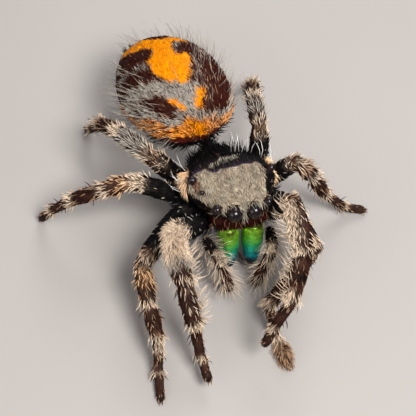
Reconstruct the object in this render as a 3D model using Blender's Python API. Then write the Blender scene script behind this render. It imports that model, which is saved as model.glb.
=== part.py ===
"""A bold jumping spider, life size, standing with both front legs lifted.

The trunk is laid out in its own frame: +Y runs to the rear, so the spider faces -Y, +X is its left
and +Z is up. The head end is pitched up and the trunk leans a little to its left. Each leg is a
chain of named lengths and angles from its hip, and each standing foot is cut flat at Z = 0.
"""

import random
from math import asin, cos, pi, radians, sin, sqrt, tan

import bmesh
import bpy
from mathutils import Matrix, Vector
from mathutils.bvhtree import BVHTree

MM = 0.001
GAP = 0.25 * MM
EYE_GAP = 0.12 * MM

CARAPACE_LENGTH = 5.2 * MM
CARAPACE_WIDTH = 4.8 * MM
CARAPACE_HEIGHT = 1.7 * MM
ABDOMEN_LENGTH = 6.7 * MM
ABDOMEN_WIDTH = 5.0 * MM
ABDOMEN_HEIGHT = 4.1 * MM
STERNUM_LENGTH = 3.2 * MM
STERNUM_WIDTH = 2.0 * MM
STERNUM_HEIGHT = 0.8 * MM
STERNUM_Z = -1.15 * MM
CHELICERA_LENGTH = 2.1 * MM
CHELICERA_HALF_THICKNESS = 0.5 * MM
FANG_LENGTH = 0.9 * MM
SPINNERET_LENGTH = 0.55 * MM
PEDICEL_HALF_THICKNESS = 0.34 * MM

# The trunk's stance, set by how high the front eyes are.
FRONT_EYES_ABOVE_FLOOR = 4.3 * MM
TRUNK_PITCH = radians(10)
TRUNK_LEAN = radians(3)

# Half width, top and underside of the carapace from its face to its rear edge: each station is a
# share of its half length, with a share of its half width or of its height.
CARAPACE_HALF_WIDTHS = [(-1.0, 0.7), (-0.75, 0.75), (-0.1, 0.96), (0.2, 0.98), (0.6, 0.72), (1.0, 0.36)]
CARAPACE_TOPS = [(-1.0, 0.56), (-0.8, 0.6), (-0.1, 0.66), (0.2, 0.62), (0.6, 0.34), (1.0, -0.08)]
CARAPACE_UNDERSIDES = [(-1.0, -0.18), (-0.7, -0.3), (0.0, -0.32), (1.0, -0.32)]

# Name, place across, along and up, and diameter of each eye of one side.
EYES = [
    ("front_middle_eye", 0.48 * MM, -2.42 * MM, 0.5 * MM, 0.78 * MM),
    ("front_side_eye", 1.24 * MM, -2.12 * MM, 0.63 * MM, 0.46 * MM),
    ("small_eye", 1.68 * MM, -1.15 * MM, 0.84 * MM, 0.24 * MM),
    ("rear_side_eye", 1.93 * MM, -0.3 * MM, 0.84 * MM, 0.42 * MM),
]

# Lengths of femur, patella, tibia, metatarsus and tarsus of each pair of legs, half thicknesses
# of the same, and the left hip's place in the trunk.
LEG_LENGTHS = {
    1: [2.8 * MM, 2.2 * MM, 2.4 * MM, 1.6 * MM, 1.1 * MM],
    2: [3.4 * MM, 1.8 * MM, 1.65 * MM, 1.6 * MM, 1.3 * MM],
    3: [2.5 * MM, 1.5 * MM, 1.9 * MM, 1.7 * MM, 1.1 * MM],
    4: [2.4 * MM, 2.0 * MM, 2.3 * MM, 2.2 * MM, 1.1 * MM],
}
LEG_HALF_THICKNESSES = {
    1: [0.56 * MM, 0.52 * MM, 0.44 * MM, 0.3 * MM, 0.26 * MM],
    2: [0.48 * MM, 0.43 * MM, 0.38 * MM, 0.28 * MM, 0.25 * MM],
    3: [0.46 * MM, 0.41 * MM, 0.36 * MM, 0.28 * MM, 0.25 * MM],
    4: [0.48 * MM, 0.43 * MM, 0.38 * MM, 0.28 * MM, 0.25 * MM],
}
HIPS = {
    1: (1.75 * MM, -1.5 * MM, -0.95 * MM),
    2: (2.4 * MM, -0.45 * MM, -1.0 * MM),
    3: (2.3 * MM, 0.45 * MM, -1.0 * MM),
    4: (2.05 * MM, 1.5 * MM, -0.95 * MM),
}
COXA_HALF_THICKNESS = 0.38 * MM

# Segments of a leg above its foot: name, thickness as (share of length, share of half thickness)
# stations, and how far its middle bows upwards.
LEG_SEGMENTS = [
    ("femur", [(0, 0.6), (0.12, 0.85), (0.4, 1.0), (0.75, 0.98), (0.92, 0.8), (1, 0.64)], 0.1 * MM),
    ("patella", [(0, 0.66), (0.15, 0.9), (0.5, 1.0), (0.85, 0.92), (1, 0.7)], 0.05 * MM),
    ("tibia", [(0, 0.74), (0.15, 0.94), (0.5, 1.0), (0.85, 0.86), (1, 0.66)], 0.0),
]
LONGEST_OVERRUN = 1.2

# Headings of femur, patella, tibia and foot in degrees from +X, and climbs of femur, patella,
# tibia, metatarsus and tarsus in degrees above level. A tarsus with no climb reaches the floor.
LEG_POSES = {
    "right_leg_1": ([215, 271, 285, 274], [38, -11, -60, -41, -13]),
    "right_leg_2": ([224, 268, 271, 260], [-2, -22, -15, -42, None]),
    "right_leg_3": ([169, 182, 161, 151], [32, -2, -40, -56, None]),
    "right_leg_4": ([170, 128, 103, 97], [56, 7, -42, -63, None]),
    "left_leg_1": ([289, 269, 240, 213], [64, -22, -13, -53, -62]),
    "left_leg_2": ([284, 214, 214, 275], [4, -24, -24, -35, None]),
    "left_leg_3": ([-34, -15, -10, -14], [65, -51, -63, -45, None]),
    "left_leg_4": ([88, 80, 70, 69], [74, -10, -38, -60, None]),
}
FOOT_HEIGHT = 0.12 * MM

# A lock of hair: half of its thickness and of its width at the root, and how deep the root sinks.
LOCK_HALF_THICKNESS = 0.23 * MM
LOCK_HALF_WIDTH = 0.28 * MM
LOCK_SINK = 0.2 * MM
LOCK_CLEARANCE = 0.22 * MM
# How far a lock has climbed and reached, as shares, and its share of thickness, from root to tip.
LOCK_STATIONS = [(0.42, 0.25, 0.92), (0.85, 0.68, 0.55), (1.0, 1.0, 0.12)]
# The turn from one root to the next round the abdomen, which spreads them evenly.
GOLDEN_TURN = radians(137.5)

# Locks of a leg's segment: where their rings stand along it, how many stand in each ring, and
# how long and how steep they are. The fringe inside the front legs is longer and steeper.
LEG_LOCKS = {
    "femur": ([0.35, 0.65], 3, 0.85 * MM, radians(24)),
    "patella": ([0.22, 0.55], 3, 0.85 * MM, radians(27)),
    "tibia": ([0.25, 0.58], 3, 0.8 * MM, radians(26)),
    "foot": ([0.3], 2, 0.65 * MM, radians(24)),
}
RING_SPACING = radians(72)
RING_DRIFT = 0.15
ROOT_SHARE = 0.9
FRINGE_LENGTH = 0.95 * MM
FRINGE_RISE = radians(52)
FRINGE_STATIONS = [0.25, 0.5, 0.75]
ABDOMEN_LOCKS = 52
ABDOMEN_LOCK_LENGTH = 1.35 * MM
ABDOMEN_LOCK_RISE = radians(17)
ABDOMEN_LOWEST_LOCK = -0.35
CARAPACE_LOCKS = 9
CARAPACE_LOCK_LENGTH = 0.8 * MM
CARAPACE_LOCK_RISE = radians(40)
PALP_LOCK_LENGTH = 0.72 * MM
PALP_LOCK_RISE = radians(40)
LOCK_SEED = 7

# Palp joints of the left side in the trunk: base, knee and tip.
PALP_JOINTS = [
    (1.6 * MM, -2.0 * MM, -1.5 * MM),
    (1.34 * MM, -3.25 * MM, -1.38 * MM),
    (0.62 * MM, -3.62 * MM, -3.6 * MM),
]
PALP_HALF_THICKNESS = 0.3 * MM

# The abdomen's middle above the floor, behind the front eyes and off the trunk's own line.
ABDOMEN_MIDDLE = Vector((-1.31 * MM, 5.47 * MM, 3.79 * MM))
ABDOMEN_HEADING = radians(20)
ABDOMEN_DROOP = radians(9)
ABDOMEN_ROLL = radians(-8)

COLOURS = {
    "dark_hair": ((0.012, 0.009, 0.009), 0.75),
    "grey_hair": ((0.32, 0.27, 0.22), 0.8),
    "leg_hair": ((0.09, 0.06, 0.05), 0.75),
    "green_scale": ((0.03, 0.4, 0.2), 0.3),
    "eye": ((0.01, 0.008, 0.008), 0.08),
    "claw": ((0.05, 0.015, 0.01), 0.3),
}


def clear_scene():
    for thing in list(bpy.data.objects):
        bpy.data.objects.remove(thing, do_unlink=True)


def make_collection(name, parent):
    made = bpy.data.collections.new(name)
    parent.children.link(made)
    return made


def make_material(name):
    colour, roughness = COLOURS[name]
    made = bpy.data.materials.new(name)
    made.use_nodes = True
    shader = made.node_tree.nodes["Principled BSDF"]
    shader.inputs["Base Color"].default_value = (*colour, 1.0)
    shader.inputs["Roughness"].default_value = roughness
    shader.inputs["Metallic"].default_value = 0.0
    return made


def trunk_matrix():
    """Places the trunk's frame so that the front eyes are at their height above the floor."""
    turn = Matrix.Rotation(-TRUNK_PITCH, 4, "X") @ Matrix.Rotation(TRUNK_LEAN, 4, "Y")
    eyes = turn @ Vector((0, EYES[0][2], EYES[0][3]))
    return Matrix.Translation((0, 0, FRONT_EYES_ABOVE_FLOOR - eyes.z)) @ turn


def abdomen_matrix():
    turn = Matrix.Rotation(ABDOMEN_HEADING, 4, "Z") @ Matrix.Rotation(-ABDOMEN_DROOP, 4, "X")
    roll = Matrix.Rotation(ABDOMEN_ROLL, 4, "Y")
    return Matrix.Translation(ABDOMEN_MIDDLE) @ turn @ roll


def read_stations(stations, at):
    """A smooth curve through a list of (place, value) stations, level past its ends."""
    if at <= stations[0][0]:
        return stations[0][1]
    for (start, low), (end, high) in zip(stations, stations[1:]):
        if at <= end:
            share = (at - start) / (end - start)
            share = share * share * (3 - 2 * share)
            return low + (high - low) * share
    return stations[-1][1]


def add_object(name, mesh, material, collection):
    mesh.materials.clear()
    mesh.materials.append(bpy.data.materials[material])
    mesh.shade_smooth()
    made = bpy.data.objects.new(name, mesh)
    collection.objects.link(made)
    return made


def from_bmesh(name, shape, material, collection):
    bmesh.ops.recalc_face_normals(shape, faces=shape.faces)
    mesh = bpy.data.meshes.new(name)
    shape.to_mesh(mesh)
    shape.free()
    return add_object(name, mesh, material, collection)


def rounded_block(cuts, roundness):
    """A cube from -1 to 1, cut into a grid and drawn towards a sphere by its roundness."""
    shape = bmesh.new()
    bmesh.ops.create_cube(shape, size=2)
    bmesh.ops.subdivide_edges(shape, edges=shape.edges[:], cuts=cuts, use_grid_fill=True)
    for vert in shape.verts:
        x, y, z = vert.co
        ball = Vector((
            x * sqrt(1 - y * y / 2 - z * z / 2 + y * y * z * z / 3),
            y * sqrt(1 - x * x / 2 - z * z / 2 + x * x * z * z / 3),
            z * sqrt(1 - x * x / 2 - y * y / 2 + x * x * y * y / 3),
        ))
        vert.co = vert.co.lerp(ball, roundness)
    return shape


def tube(name, points, radii, material, collection, sides=10):
    """A closed tube along points, each with its own radius: a curve's bevel, made a mesh."""
    curve = bpy.data.curves.new(name, "CURVE")
    curve.dimensions = "3D"
    curve.bevel_depth = 1.0
    curve.bevel_resolution = sides // 2 - 2
    curve.use_fill_caps = True
    spline = curve.splines.new("POLY")
    spline.points.add(len(points) - 1)
    for knot, point, radius in zip(spline.points, points, radii):
        knot.co = (*point, 1)
        knot.radius = radius
    drawn = bpy.data.objects.new(name, curve)
    collection.objects.link(drawn)
    evaluated = drawn.evaluated_get(bpy.context.evaluated_depsgraph_get())
    mesh = bpy.data.meshes.new_from_object(evaluated)
    bpy.data.objects.remove(drawn)
    bpy.data.curves.remove(curve)
    shape = bmesh.new()
    shape.from_mesh(mesh)
    bpy.data.meshes.remove(mesh)
    bmesh.ops.remove_doubles(shape, verts=shape.verts, dist=1e-6)
    return from_bmesh(name, shape, material, collection)


def swollen_tube(name, start, end, half_thickness, profile, material, collection, bow=0.0, sides=8):
    """A tube from start to end with a profile of (share of length, share of thickness) stations.

    The bow lifts its middle by that distance, square to its length and upwards.
    """
    along = (end - start).normalized()
    lift = (Vector((0, 0, 1)) - along * along.z).normalized()
    points = [start.lerp(end, at) + lift * bow * 4 * at * (1 - at) for at, _ in profile]
    radii = [half_thickness * share for _, share in profile]
    return tube(name, points, radii, material, collection, sides)


def combine(target, others, operation, solver="EXACT"):
    """Joins or cuts with the others, then removes them and keeps the largest closed surface."""
    cutters = make_collection("cutters", bpy.context.scene.collection)
    for other in others:
        for holder in list(other.users_collection):
            holder.objects.unlink(other)
        cutters.objects.link(other)
        other.hide_render = True
        other.display_type = "WIRE"
    boolean = target.modifiers.new("combine", "BOOLEAN")
    boolean.operation = operation
    boolean.solver = solver
    boolean.operand_type = "COLLECTION"
    boolean.collection = cutters
    evaluated = target.evaluated_get(bpy.context.evaluated_depsgraph_get())
    mesh = bpy.data.meshes.new_from_object(evaluated)
    target.modifiers.remove(boolean)
    target.data = mesh
    for other in others:
        bpy.data.objects.remove(other)
    bpy.data.collections.remove(cutters)
    keep_largest(target)


def surfaces(shape):
    """Lists of faces, one for each connected surface."""
    left = set(shape.faces)
    found = []
    while left:
        grown = [left.pop()]
        for face in grown:
            for edge in face.edges:
                for near in edge.link_faces:
                    if near in left:
                        left.remove(near)
                        grown.append(near)
        found.append(grown)
    return found


def keep_largest(target):
    shape = bmesh.new()
    shape.from_mesh(target.data)
    bmesh.ops.remove_doubles(shape, verts=shape.verts, dist=1e-7)
    parts = sorted(surfaces(shape), key=len)
    loose = [face for part in parts[:-1] for face in part]
    bmesh.ops.delete(shape, geom=loose, context="FACES")
    shape.to_mesh(target.data)
    shape.free()


def cut_away(target, point, outwards):
    """Cuts away what lies outwards of a plane through the point and closes the cut."""
    shape = bmesh.new()
    shape.from_mesh(target.data)
    everything = shape.verts[:] + shape.edges[:] + shape.faces[:]
    cut = bmesh.ops.bisect_plane(shape, geom=everything, plane_co=point, plane_no=outwards, clear_outer=True)
    rim = [item for item in cut["geom_cut"] if isinstance(item, bmesh.types.BMEdge)]
    if rim:
        bmesh.ops.holes_fill(shape, edges=rim)
    bmesh.ops.recalc_face_normals(shape, faces=shape.faces)
    shape.to_mesh(target.data)
    shape.free()


def place(target, matrix):
    target.data.transform(matrix)
    return target


def make_ball(name, middle, diameter, material, collection, segments=12):
    shape = bmesh.new()
    bmesh.ops.create_uvsphere(shape, u_segments=segments, v_segments=segments - 4, radius=diameter / 2)
    bmesh.ops.rotate(shape, verts=shape.verts, matrix=Matrix.Rotation(pi / 2, 3, "X"))
    bmesh.ops.translate(shape, verts=shape.verts, vec=middle)
    return from_bmesh(name, shape, material, collection)


def eye_places():
    """Name, middle and diameter of all eight eyes, in the trunk."""
    for eye, across, along, up, diameter in EYES:
        for side, sign in (("left", 1), ("right", -1)):
            yield f"{side}_{eye}", Vector((sign * across, along, up)), diameter


def make_carapace(trunk, collection):
    shape = rounded_block(7, 0.72)
    for vert in shape.verts:
        across, along, up = vert.co
        width = read_stations(CARAPACE_HALF_WIDTHS, along) * CARAPACE_WIDTH / 2
        top = read_stations(CARAPACE_TOPS, along) * CARAPACE_HEIGHT
        under = read_stations(CARAPACE_UNDERSIDES, along) * CARAPACE_HEIGHT
        share = (up + 1) / 2
        lean_in = 1 - 0.22 * share * share
        vert.co = (across * width * lean_in, along * CARAPACE_LENGTH / 2, under + (top - under) * share)
    carapace = from_bmesh("carapace", shape, "grey_hair", collection)
    sockets = [
        make_ball("socket", middle, diameter + 2 * EYE_GAP, "eye", collection, 10)
        for _, middle, diameter in eye_places()
    ]
    combine(carapace, sockets, "DIFFERENCE")
    return place(carapace, trunk)


def make_eyes(trunk, collection):
    for name, middle, diameter in eye_places():
        segments = 14 if "front_middle" in name else 10
        place(make_ball(name, middle, diameter, "eye", collection, segments), trunk)


def make_sternum(trunk, collection):
    """The breast plate with the eight coxae and the mouth's lobes grown from it."""
    shape = rounded_block(3, 1.0)
    size = Vector((STERNUM_WIDTH / 2, STERNUM_LENGTH / 2, STERNUM_HEIGHT / 2))
    bmesh.ops.scale(shape, verts=shape.verts, vec=size)
    bmesh.ops.translate(shape, verts=shape.verts, vec=(0, 0, STERNUM_Z))
    sternum = from_bmesh("sternum", shape, "dark_hair", collection)
    grown = []
    root = STERNUM_WIDTH * 0.2
    for pair, hip in HIPS.items():
        for sign in (1, -1):
            end = Vector((sign * hip[0], hip[1], hip[2]))
            start = Vector((sign * root, hip[1] * 0.6, STERNUM_Z))
            end = end + (start - end).normalized() * GAP / 2
            profile = [(0, 0.7), (0.35, 0.95), (0.8, 1.0), (1, 0.8)]
            grown.append(swollen_tube(
                f"coxa_{pair}", start, end, COXA_HALF_THICKNESS, profile, "dark_hair", collection, 0, 6))
    for sign in (1, -1):
        start = Vector((sign * root, -0.9 * MM, STERNUM_Z))
        end = Vector((sign * 0.75 * MM, -1.85 * MM, STERNUM_Z - 0.1 * MM))
        profile = [(0, 0.8), (0.7, 1.0), (1, 0.7)]
        grown.append(swollen_tube("lobe", start, end, 0.36 * MM, profile, "dark_hair", collection, 0, 8))
    combine(sternum, grown, "UNION")
    return place(sternum, trunk)


def make_chelicerae(trunk, collection):
    for side, sign in (("left", 1), ("right", -1)):
        name = f"{side}_chelicera"
        thick = CHELICERA_HALF_THICKNESS
        base = Vector((sign * 0.6 * MM, -2.23 * MM, -0.62 * MM))
        tip = base + Vector((-sign * 0.05 * MM, -0.53 * MM, -CHELICERA_LENGTH))
        profile = [(0, 0.8), (0.12, 0.98), (0.4, 1.04), (0.75, 0.9), (0.93, 0.68), (1, 0.45)]
        place(swollen_tube(name, base, tip, thick, profile, "green_scale", collection, 0, 12), trunk)
        start = tip + Vector((sign * 0.08 * MM, 0.12 * MM, -GAP))
        points = [
            start,
            start + Vector((-sign * 0.1 * MM, 0.25 * MM, -0.3 * MM)),
            start + Vector((-sign * 0.25 * MM, 0.55 * MM, -0.42 * MM)),
            start + Vector((-sign * 0.33 * MM, FANG_LENGTH, -0.4 * MM)),
        ]
        radii = [0.22 * MM, 0.18 * MM, 0.11 * MM, 0.03 * MM]
        place(tube(f"{side}_fang", points, radii, "claw", collection, 8), trunk)


def make_palps(trunk, collection):
    for side, sign in (("left", 1), ("right", -1)):
        base, knee, tip = (Vector((sign * x, y, z)) for x, y, z in PALP_JOINTS)
        across, overrun = joint_plane(base, knee, tip)
        past = overrun * PALP_HALF_THICKNESS * 0.8
        profile = [(0, 0.75), (0.3, 0.95), (0.8, 1.0), (1, 0.8)]
        end = knee + (knee - base).normalized() * past
        femur = swollen_tube(
            f"{side}_palp_femur", base, end, PALP_HALF_THICKNESS, profile, "leg_hair", collection, 0, 8)
        meet(femur, knee, across, True)
        place(femur, trunk)
        profile = [(0, 0.8), (0.15, 1.0), (0.35, 0.85), (0.5, 1.0), (0.85, 1.0), (0.97, 0.6), (1, 0.3)]
        start = knee - (tip - knee).normalized() * past
        foot = swollen_tube(
            f"{side}_palp_foot", start, tip, PALP_HALF_THICKNESS, profile, "leg_hair", collection, 0, 8)
        meet(foot, knee, across, False)
        place(foot, trunk)


def abdomen_point(across, along, up):
    """Carries a point of a unit ball to the abdomen, full in front, which sags to the rear."""
    taper = 1 - 0.1 * max(0, along) ** 2 + 0.1 * max(0, -along) ** 2
    sag = -0.05 * ABDOMEN_HEIGHT * max(0, along)
    return Vector((
        across * taper * ABDOMEN_WIDTH / 2,
        along * ABDOMEN_LENGTH / 2,
        up * taper * ABDOMEN_HEIGHT / 2 + sag,
    ))


def make_abdomen(matrix, collection):
    shape = rounded_block(7, 1.0)
    for vert in shape.verts:
        vert.co = abdomen_point(*vert.co)
    return place(from_bmesh("abdomen", shape, "dark_hair", collection), matrix)


def make_spinnerets(matrix, collection):
    """Four short cones that share one base under the abdomen's rear end."""
    middle = Vector((0, ABDOMEN_LENGTH * 0.5 + GAP * 0.4, -ABDOMEN_HEIGHT * 0.14))
    backwards = Vector((0, 0.85, -0.3)).normalized()
    profile = [(0, 1), (0.5, 0.95), (1, 0.7)]
    end = middle + backwards * 0.25 * MM
    base = swollen_tube("spinnerets", middle, end, 0.42 * MM, profile, "dark_hair", collection, 0, 10)
    grown = []
    for across in (-1, 1):
        for up in (-1, 1):
            start = middle + Vector((across * 0.17 * MM, 0.08 * MM, up * 0.15 * MM))
            end = start + backwards * SPINNERET_LENGTH + Vector((across * 0.05 * MM, 0, up * 0.04 * MM))
            cone = [(0, 1), (0.6, 0.85), (1, 0.45)]
            grown.append(swollen_tube("cone", start, end, 0.17 * MM, cone, "dark_hair", collection, 0, 8))
    combine(base, grown, "UNION")
    return place(base, matrix)


def make_pedicel(trunk, abdomen, collection):
    """The short waist, from under the carapace's rear to the abdomen's front, under its bulge."""
    start = trunk @ Vector((0, CARAPACE_LENGTH / 2 + 1.4 * GAP, -0.5 * CARAPACE_HEIGHT))
    down = radians(46)
    socket = abdomen_point(0, -cos(down), -sin(down))
    outwards = Vector((0, -cos(down) / ABDOMEN_LENGTH, -sin(down) / ABDOMEN_HEIGHT)).normalized()
    end = abdomen @ (socket + outwards * GAP)
    neck = abdomen @ (socket + outwards * 2 * GAP)
    radii = [PEDICEL_HALF_THICKNESS, PEDICEL_HALF_THICKNESS * 0.85, PEDICEL_HALF_THICKNESS * 0.9]
    return tube("pedicel", [start, neck, end], radii, "dark_hair", collection, 10)


def make_lock(root, outwards, lie, climb, reach, material, collection):
    """A flat tapered lock that leaves the surface and bends back down along its lie."""
    points = [root - outwards * LOCK_SINK]
    radii = [LOCK_HALF_THICKNESS]
    for out, along, share in LOCK_STATIONS:
        points.append(root + outwards * climb * out + lie * reach * along)
        radii.append(LOCK_HALF_THICKNESS * share)
    lock = tube("lock", points, radii, material, collection, 4)
    across = outwards.cross(lie)
    widen = Matrix.Scale(LOCK_HALF_WIDTH / LOCK_HALF_THICKNESS, 4, across)
    place(lock, Matrix.Translation(root) @ widen @ Matrix.Translation(-root))
    return lock


def is_clear(balls, trees):
    """Whether all balls, each a middle and a share of a lock's thickness, clear nodes and floor."""
    for middle, share in balls:
        reach = share * LOCK_HALF_THICKNESS + LOCK_CLEARANCE
        if middle.z < reach or any(tree.find_nearest(middle, reach)[0] for tree in trees):
            return False
    return True


def grow_locks(target, roots, material, collection):
    """Fuses locks to their node, leaving out those that would come too near another node."""
    trees = []
    for other in collection.objects:
        if other != target:
            triangles = bmesh.new()
            triangles.from_mesh(other.data)
            trees.append(BVHTree.FromBMesh(triangles))
            triangles.free()
    grown = []
    for root, outwards, lie, length, rise in roots:
        outwards = outwards.normalized()
        lie = (lie - outwards * lie.dot(outwards)).normalized()
        climb = sin(rise) * length
        reach = cos(rise) * length
        tip = root + outwards * climb + lie * reach
        middle = root.lerp(tip, 0.5) + outwards * climb * 0.15
        balls = [(root, 0.5), (middle, 0.8), (tip, 0.2)]
        if is_clear(balls, trees):
            grown.append(make_lock(root, outwards, lie, climb, reach, material, collection))
    if grown:
        combine(target, grown, "UNION")


def ring_roots(start, end, half_thickness, stations, count, length, rise, draw):
    """Roots of locks that stand in rings round a leg's segment and point along it."""
    along = (end - start).normalized()
    upwards = (Vector((0, 0, 1)) - along * along.z).normalized()
    side = along.cross(upwards)
    for ring, station in enumerate(stations):
        for number in range(count):
            place_in_ring = number - (count - 1) / 2 + 0.5 * (ring % 2)
            turn = place_in_ring * RING_SPACING + draw.uniform(-RING_DRIFT, RING_DRIFT)
            outwards = upwards * cos(turn) + side * sin(turn)
            root = start.lerp(end, station) + outwards * half_thickness * ROOT_SHARE
            yield root, outwards, along, length * draw.uniform(0.85, 1.1), rise


def leg_joints(name, trunk):
    """The hip and the ends of femur, patella, tibia, metatarsus and tarsus, in world space."""
    pair = int(name[-1])
    headings, climbs = LEG_POSES[name]
    across, along, up = HIPS[pair]
    sign = 1 if name.startswith("left") else -1
    joints = [trunk @ Vector((sign * across, along, up))]
    for number, length in enumerate(LEG_LENGTHS[pair]):
        heading = radians(headings[min(number, 3)])
        if climbs[number] is None:
            climb = asin((FOOT_HEIGHT - joints[-1].z) / length)
        else:
            climb = radians(climbs[number])
        step = Vector((cos(heading) * cos(climb), sin(heading) * cos(climb), sin(climb)))
        joints.append(joints[-1] + step * length)
    return joints


def joint_plane(before, here, after):
    """The direction across which two segments meet at a joint, and how far they run past it."""
    arriving = (here - before).normalized()
    leaving = (after - here).normalized()
    overrun = min(tan(arriving.angle(leaving) / 2), LONGEST_OVERRUN)
    return (arriving + leaving).normalized(), overrun


def meet(target, joint, across, keeps_before):
    """Ends a segment at a joint's plane, half a gap short of it."""
    side = across if keeps_before else -across
    cut_away(target, joint - side * GAP / 2, side)


def make_foot(name, joints, plane, thin, material, collection):
    """Metatarsus and tarsus as one tube, with the claw tuft as its rounded end."""
    middle, knuckle, tip = joints
    across, overrun = plane
    metatarsus, tarsus = thin
    start = middle - (knuckle - middle).normalized() * overrun * metatarsus
    points = [
        start,
        middle.lerp(knuckle, 0.2),
        middle.lerp(knuckle, 0.75),
        knuckle,
        knuckle.lerp(tip, 0.25),
        knuckle.lerp(tip, 0.8),
        tip,
    ]
    knuckle_thickness = (metatarsus + tarsus) / 2
    radii = [metatarsus * 0.8, metatarsus, metatarsus * 0.9, knuckle_thickness, tarsus, tarsus, tarsus * 0.62]
    foot = tube(f"{name}_foot", points, radii, material, collection, 8)
    meet(foot, middle, across, False)
    cut_away(foot, (0, 0, 0), (0, 0, -1))
    return foot


def make_leg(name, trunk, collection):
    joints = leg_joints(name, trunk)
    thick = LEG_HALF_THICKNESSES[int(name[-1])]
    planes = [joint_plane(*joints[at - 1:at + 2]) for at in (1, 2, 3)]
    for number, (part, profile, bow) in enumerate(LEG_SEGMENTS):
        start, end = joints[number], joints[number + 1]
        along = (end - start).normalized()
        if number == 0:
            root = start + along * GAP / 2
        else:
            root = start - along * planes[number - 1][1] * thick[number] * profile[0][1]
        past = end + along * planes[number][1] * thick[number] * profile[-1][1]
        piece = swollen_tube(
            f"{name}_{part}", root, past, thick[number], profile, "leg_hair", collection, bow)
        if number > 0:
            meet(piece, start, planes[number - 1][0], False)
        meet(piece, end, planes[number][0], True)
    make_foot(name, joints[3:], planes[2], thick[3:], "leg_hair", collection)


def lock_abdomen(matrix, collection, draw):
    """Locks spread evenly over the back and sides, all lying rearwards."""
    roots = []
    turned = matrix.to_3x3()
    for number in range(ABDOMEN_LOCKS):
        up = 1 - (1 - ABDOMEN_LOWEST_LOCK) * (number + 0.5) / ABDOMEN_LOCKS
        ring = sqrt(1 - up * up)
        across, along = ring * cos(number * GOLDEN_TURN), ring * sin(number * GOLDEN_TURN)
        outwards = Vector((across / ABDOMEN_WIDTH, along / ABDOMEN_LENGTH, up / ABDOMEN_HEIGHT))
        roots.append((
            matrix @ abdomen_point(across, along, up),
            turned @ outwards,
            turned @ Vector((0, 1, -0.25)),
            ABDOMEN_LOCK_LENGTH * draw.uniform(0.85, 1.1),
            ABDOMEN_LOCK_RISE,
        ))
    grow_locks(collection.objects["abdomen"], roots, "dark_hair", collection)


def lock_carapace(trunk, collection, draw):
    """Locks that rise from the rear slope and the lower sides of the carapace."""
    turned = trunk.to_3x3()
    roots = []
    for number in range(CARAPACE_LOCKS):
        turn = radians(-90 + 180 * (number + 0.5) / CARAPACE_LOCKS)
        along = cos(turn) * 0.78
        width = read_stations(CARAPACE_HALF_WIDTHS, along) * CARAPACE_WIDTH / 2
        across = sin(turn) * width * 0.86
        height = read_stations(CARAPACE_TOPS, along) * CARAPACE_HEIGHT * (0.72 - 0.4 * abs(sin(turn)))
        outwards = Vector((sin(turn), 0.5 * cos(turn), 0.9))
        lie = Vector((sin(turn) * 0.4, 1, 0.2))
        root = Vector((across, along * CARAPACE_LENGTH / 2, height))
        length = CARAPACE_LOCK_LENGTH * draw.uniform(0.85, 1.1)
        roots.append((trunk @ root, turned @ outwards, turned @ lie, length, CARAPACE_LOCK_RISE))
    grow_locks(collection.objects["carapace"], roots, "grey_hair", collection)


def lock_palps(trunk, collection, draw):
    for side, sign in (("left", 1), ("right", -1)):
        base, knee, tip = (trunk @ Vector((sign * x, y, z)) for x, y, z in PALP_JOINTS)
        thickness = PALP_HALF_THICKNESS
        femur = ring_roots(base, knee, thickness, [0.45, 0.8], 3, PALP_LOCK_LENGTH, PALP_LOCK_RISE, draw)
        foot = ring_roots(knee, tip, thickness, [0.3, 0.65], 5, PALP_LOCK_LENGTH, PALP_LOCK_RISE, draw)
        grow_locks(collection.objects[f"{side}_palp_femur"], femur, "leg_hair", collection)
        grow_locks(collection.objects[f"{side}_palp_foot"], foot, "leg_hair", collection)


def lock_leg(name, trunk, collection, draw):
    """Rings of locks round each segment, and the fringe inside the front legs."""
    joints = leg_joints(name, trunk)
    thick = LEG_HALF_THICKNESSES[int(name[-1])]
    for number, (part, (stations, count, length, rise)) in enumerate(LEG_LOCKS.items()):
        start, end = joints[number], joints[number + 1]
        roots = list(ring_roots(start, end, thick[number], stations, count, length, rise, draw))
        if name.endswith("1") and part in ("patella", "tibia"):
            along = (end - start).normalized()
            inwards = along.cross(Vector((0, 0, 1))).normalized()
            if name.startswith("right"):
                inwards = -inwards
            for station in FRINGE_STATIONS:
                root = start.lerp(end, station) + inwards * thick[number] * ROOT_SHARE
                roots.append((root, inwards, along, FRINGE_LENGTH, FRINGE_RISE))
        grow_locks(collection.objects[f"{name}_{part}"], roots, "leg_hair", collection)


def rest_on_floor(collection):
    """Brings the middle of the whole outline over the origin."""
    corners = [vert.co for thing in collection.objects for vert in thing.data.vertices]
    middle_x = (min(co.x for co in corners) + max(co.x for co in corners)) / 2
    middle_y = (min(co.y for co in corners) + max(co.y for co in corners)) / 2
    for thing in collection.objects:
        place(thing, Matrix.Translation((-middle_x, -middle_y, 0)))


def make_spider():
    clear_scene()
    spider = make_collection("bold_jumping_spider", bpy.context.scene.collection)
    for name in COLOURS:
        make_material(name)
    trunk = trunk_matrix()
    abdomen = abdomen_matrix()
    make_carapace(trunk, spider)
    make_eyes(trunk, spider)
    make_sternum(trunk, spider)
    make_chelicerae(trunk, spider)
    make_palps(trunk, spider)
    make_pedicel(trunk, abdomen, spider)
    make_abdomen(abdomen, spider)
    make_spinnerets(abdomen, spider)
    for name in LEG_POSES:
        make_leg(name, trunk, spider)
    draw = random.Random(LOCK_SEED)
    lock_abdomen(abdomen, spider, draw)
    lock_carapace(trunk, spider, draw)
    for name in LEG_POSES:
        lock_leg(name, trunk, spider, draw)
    lock_palps(trunk, spider, draw)
    rest_on_floor(spider)


make_spider()
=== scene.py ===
import math

import bpy
import numpy as np
from mathutils import Matrix, Vector
from mathutils.bvhtree import BVHTree


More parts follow.
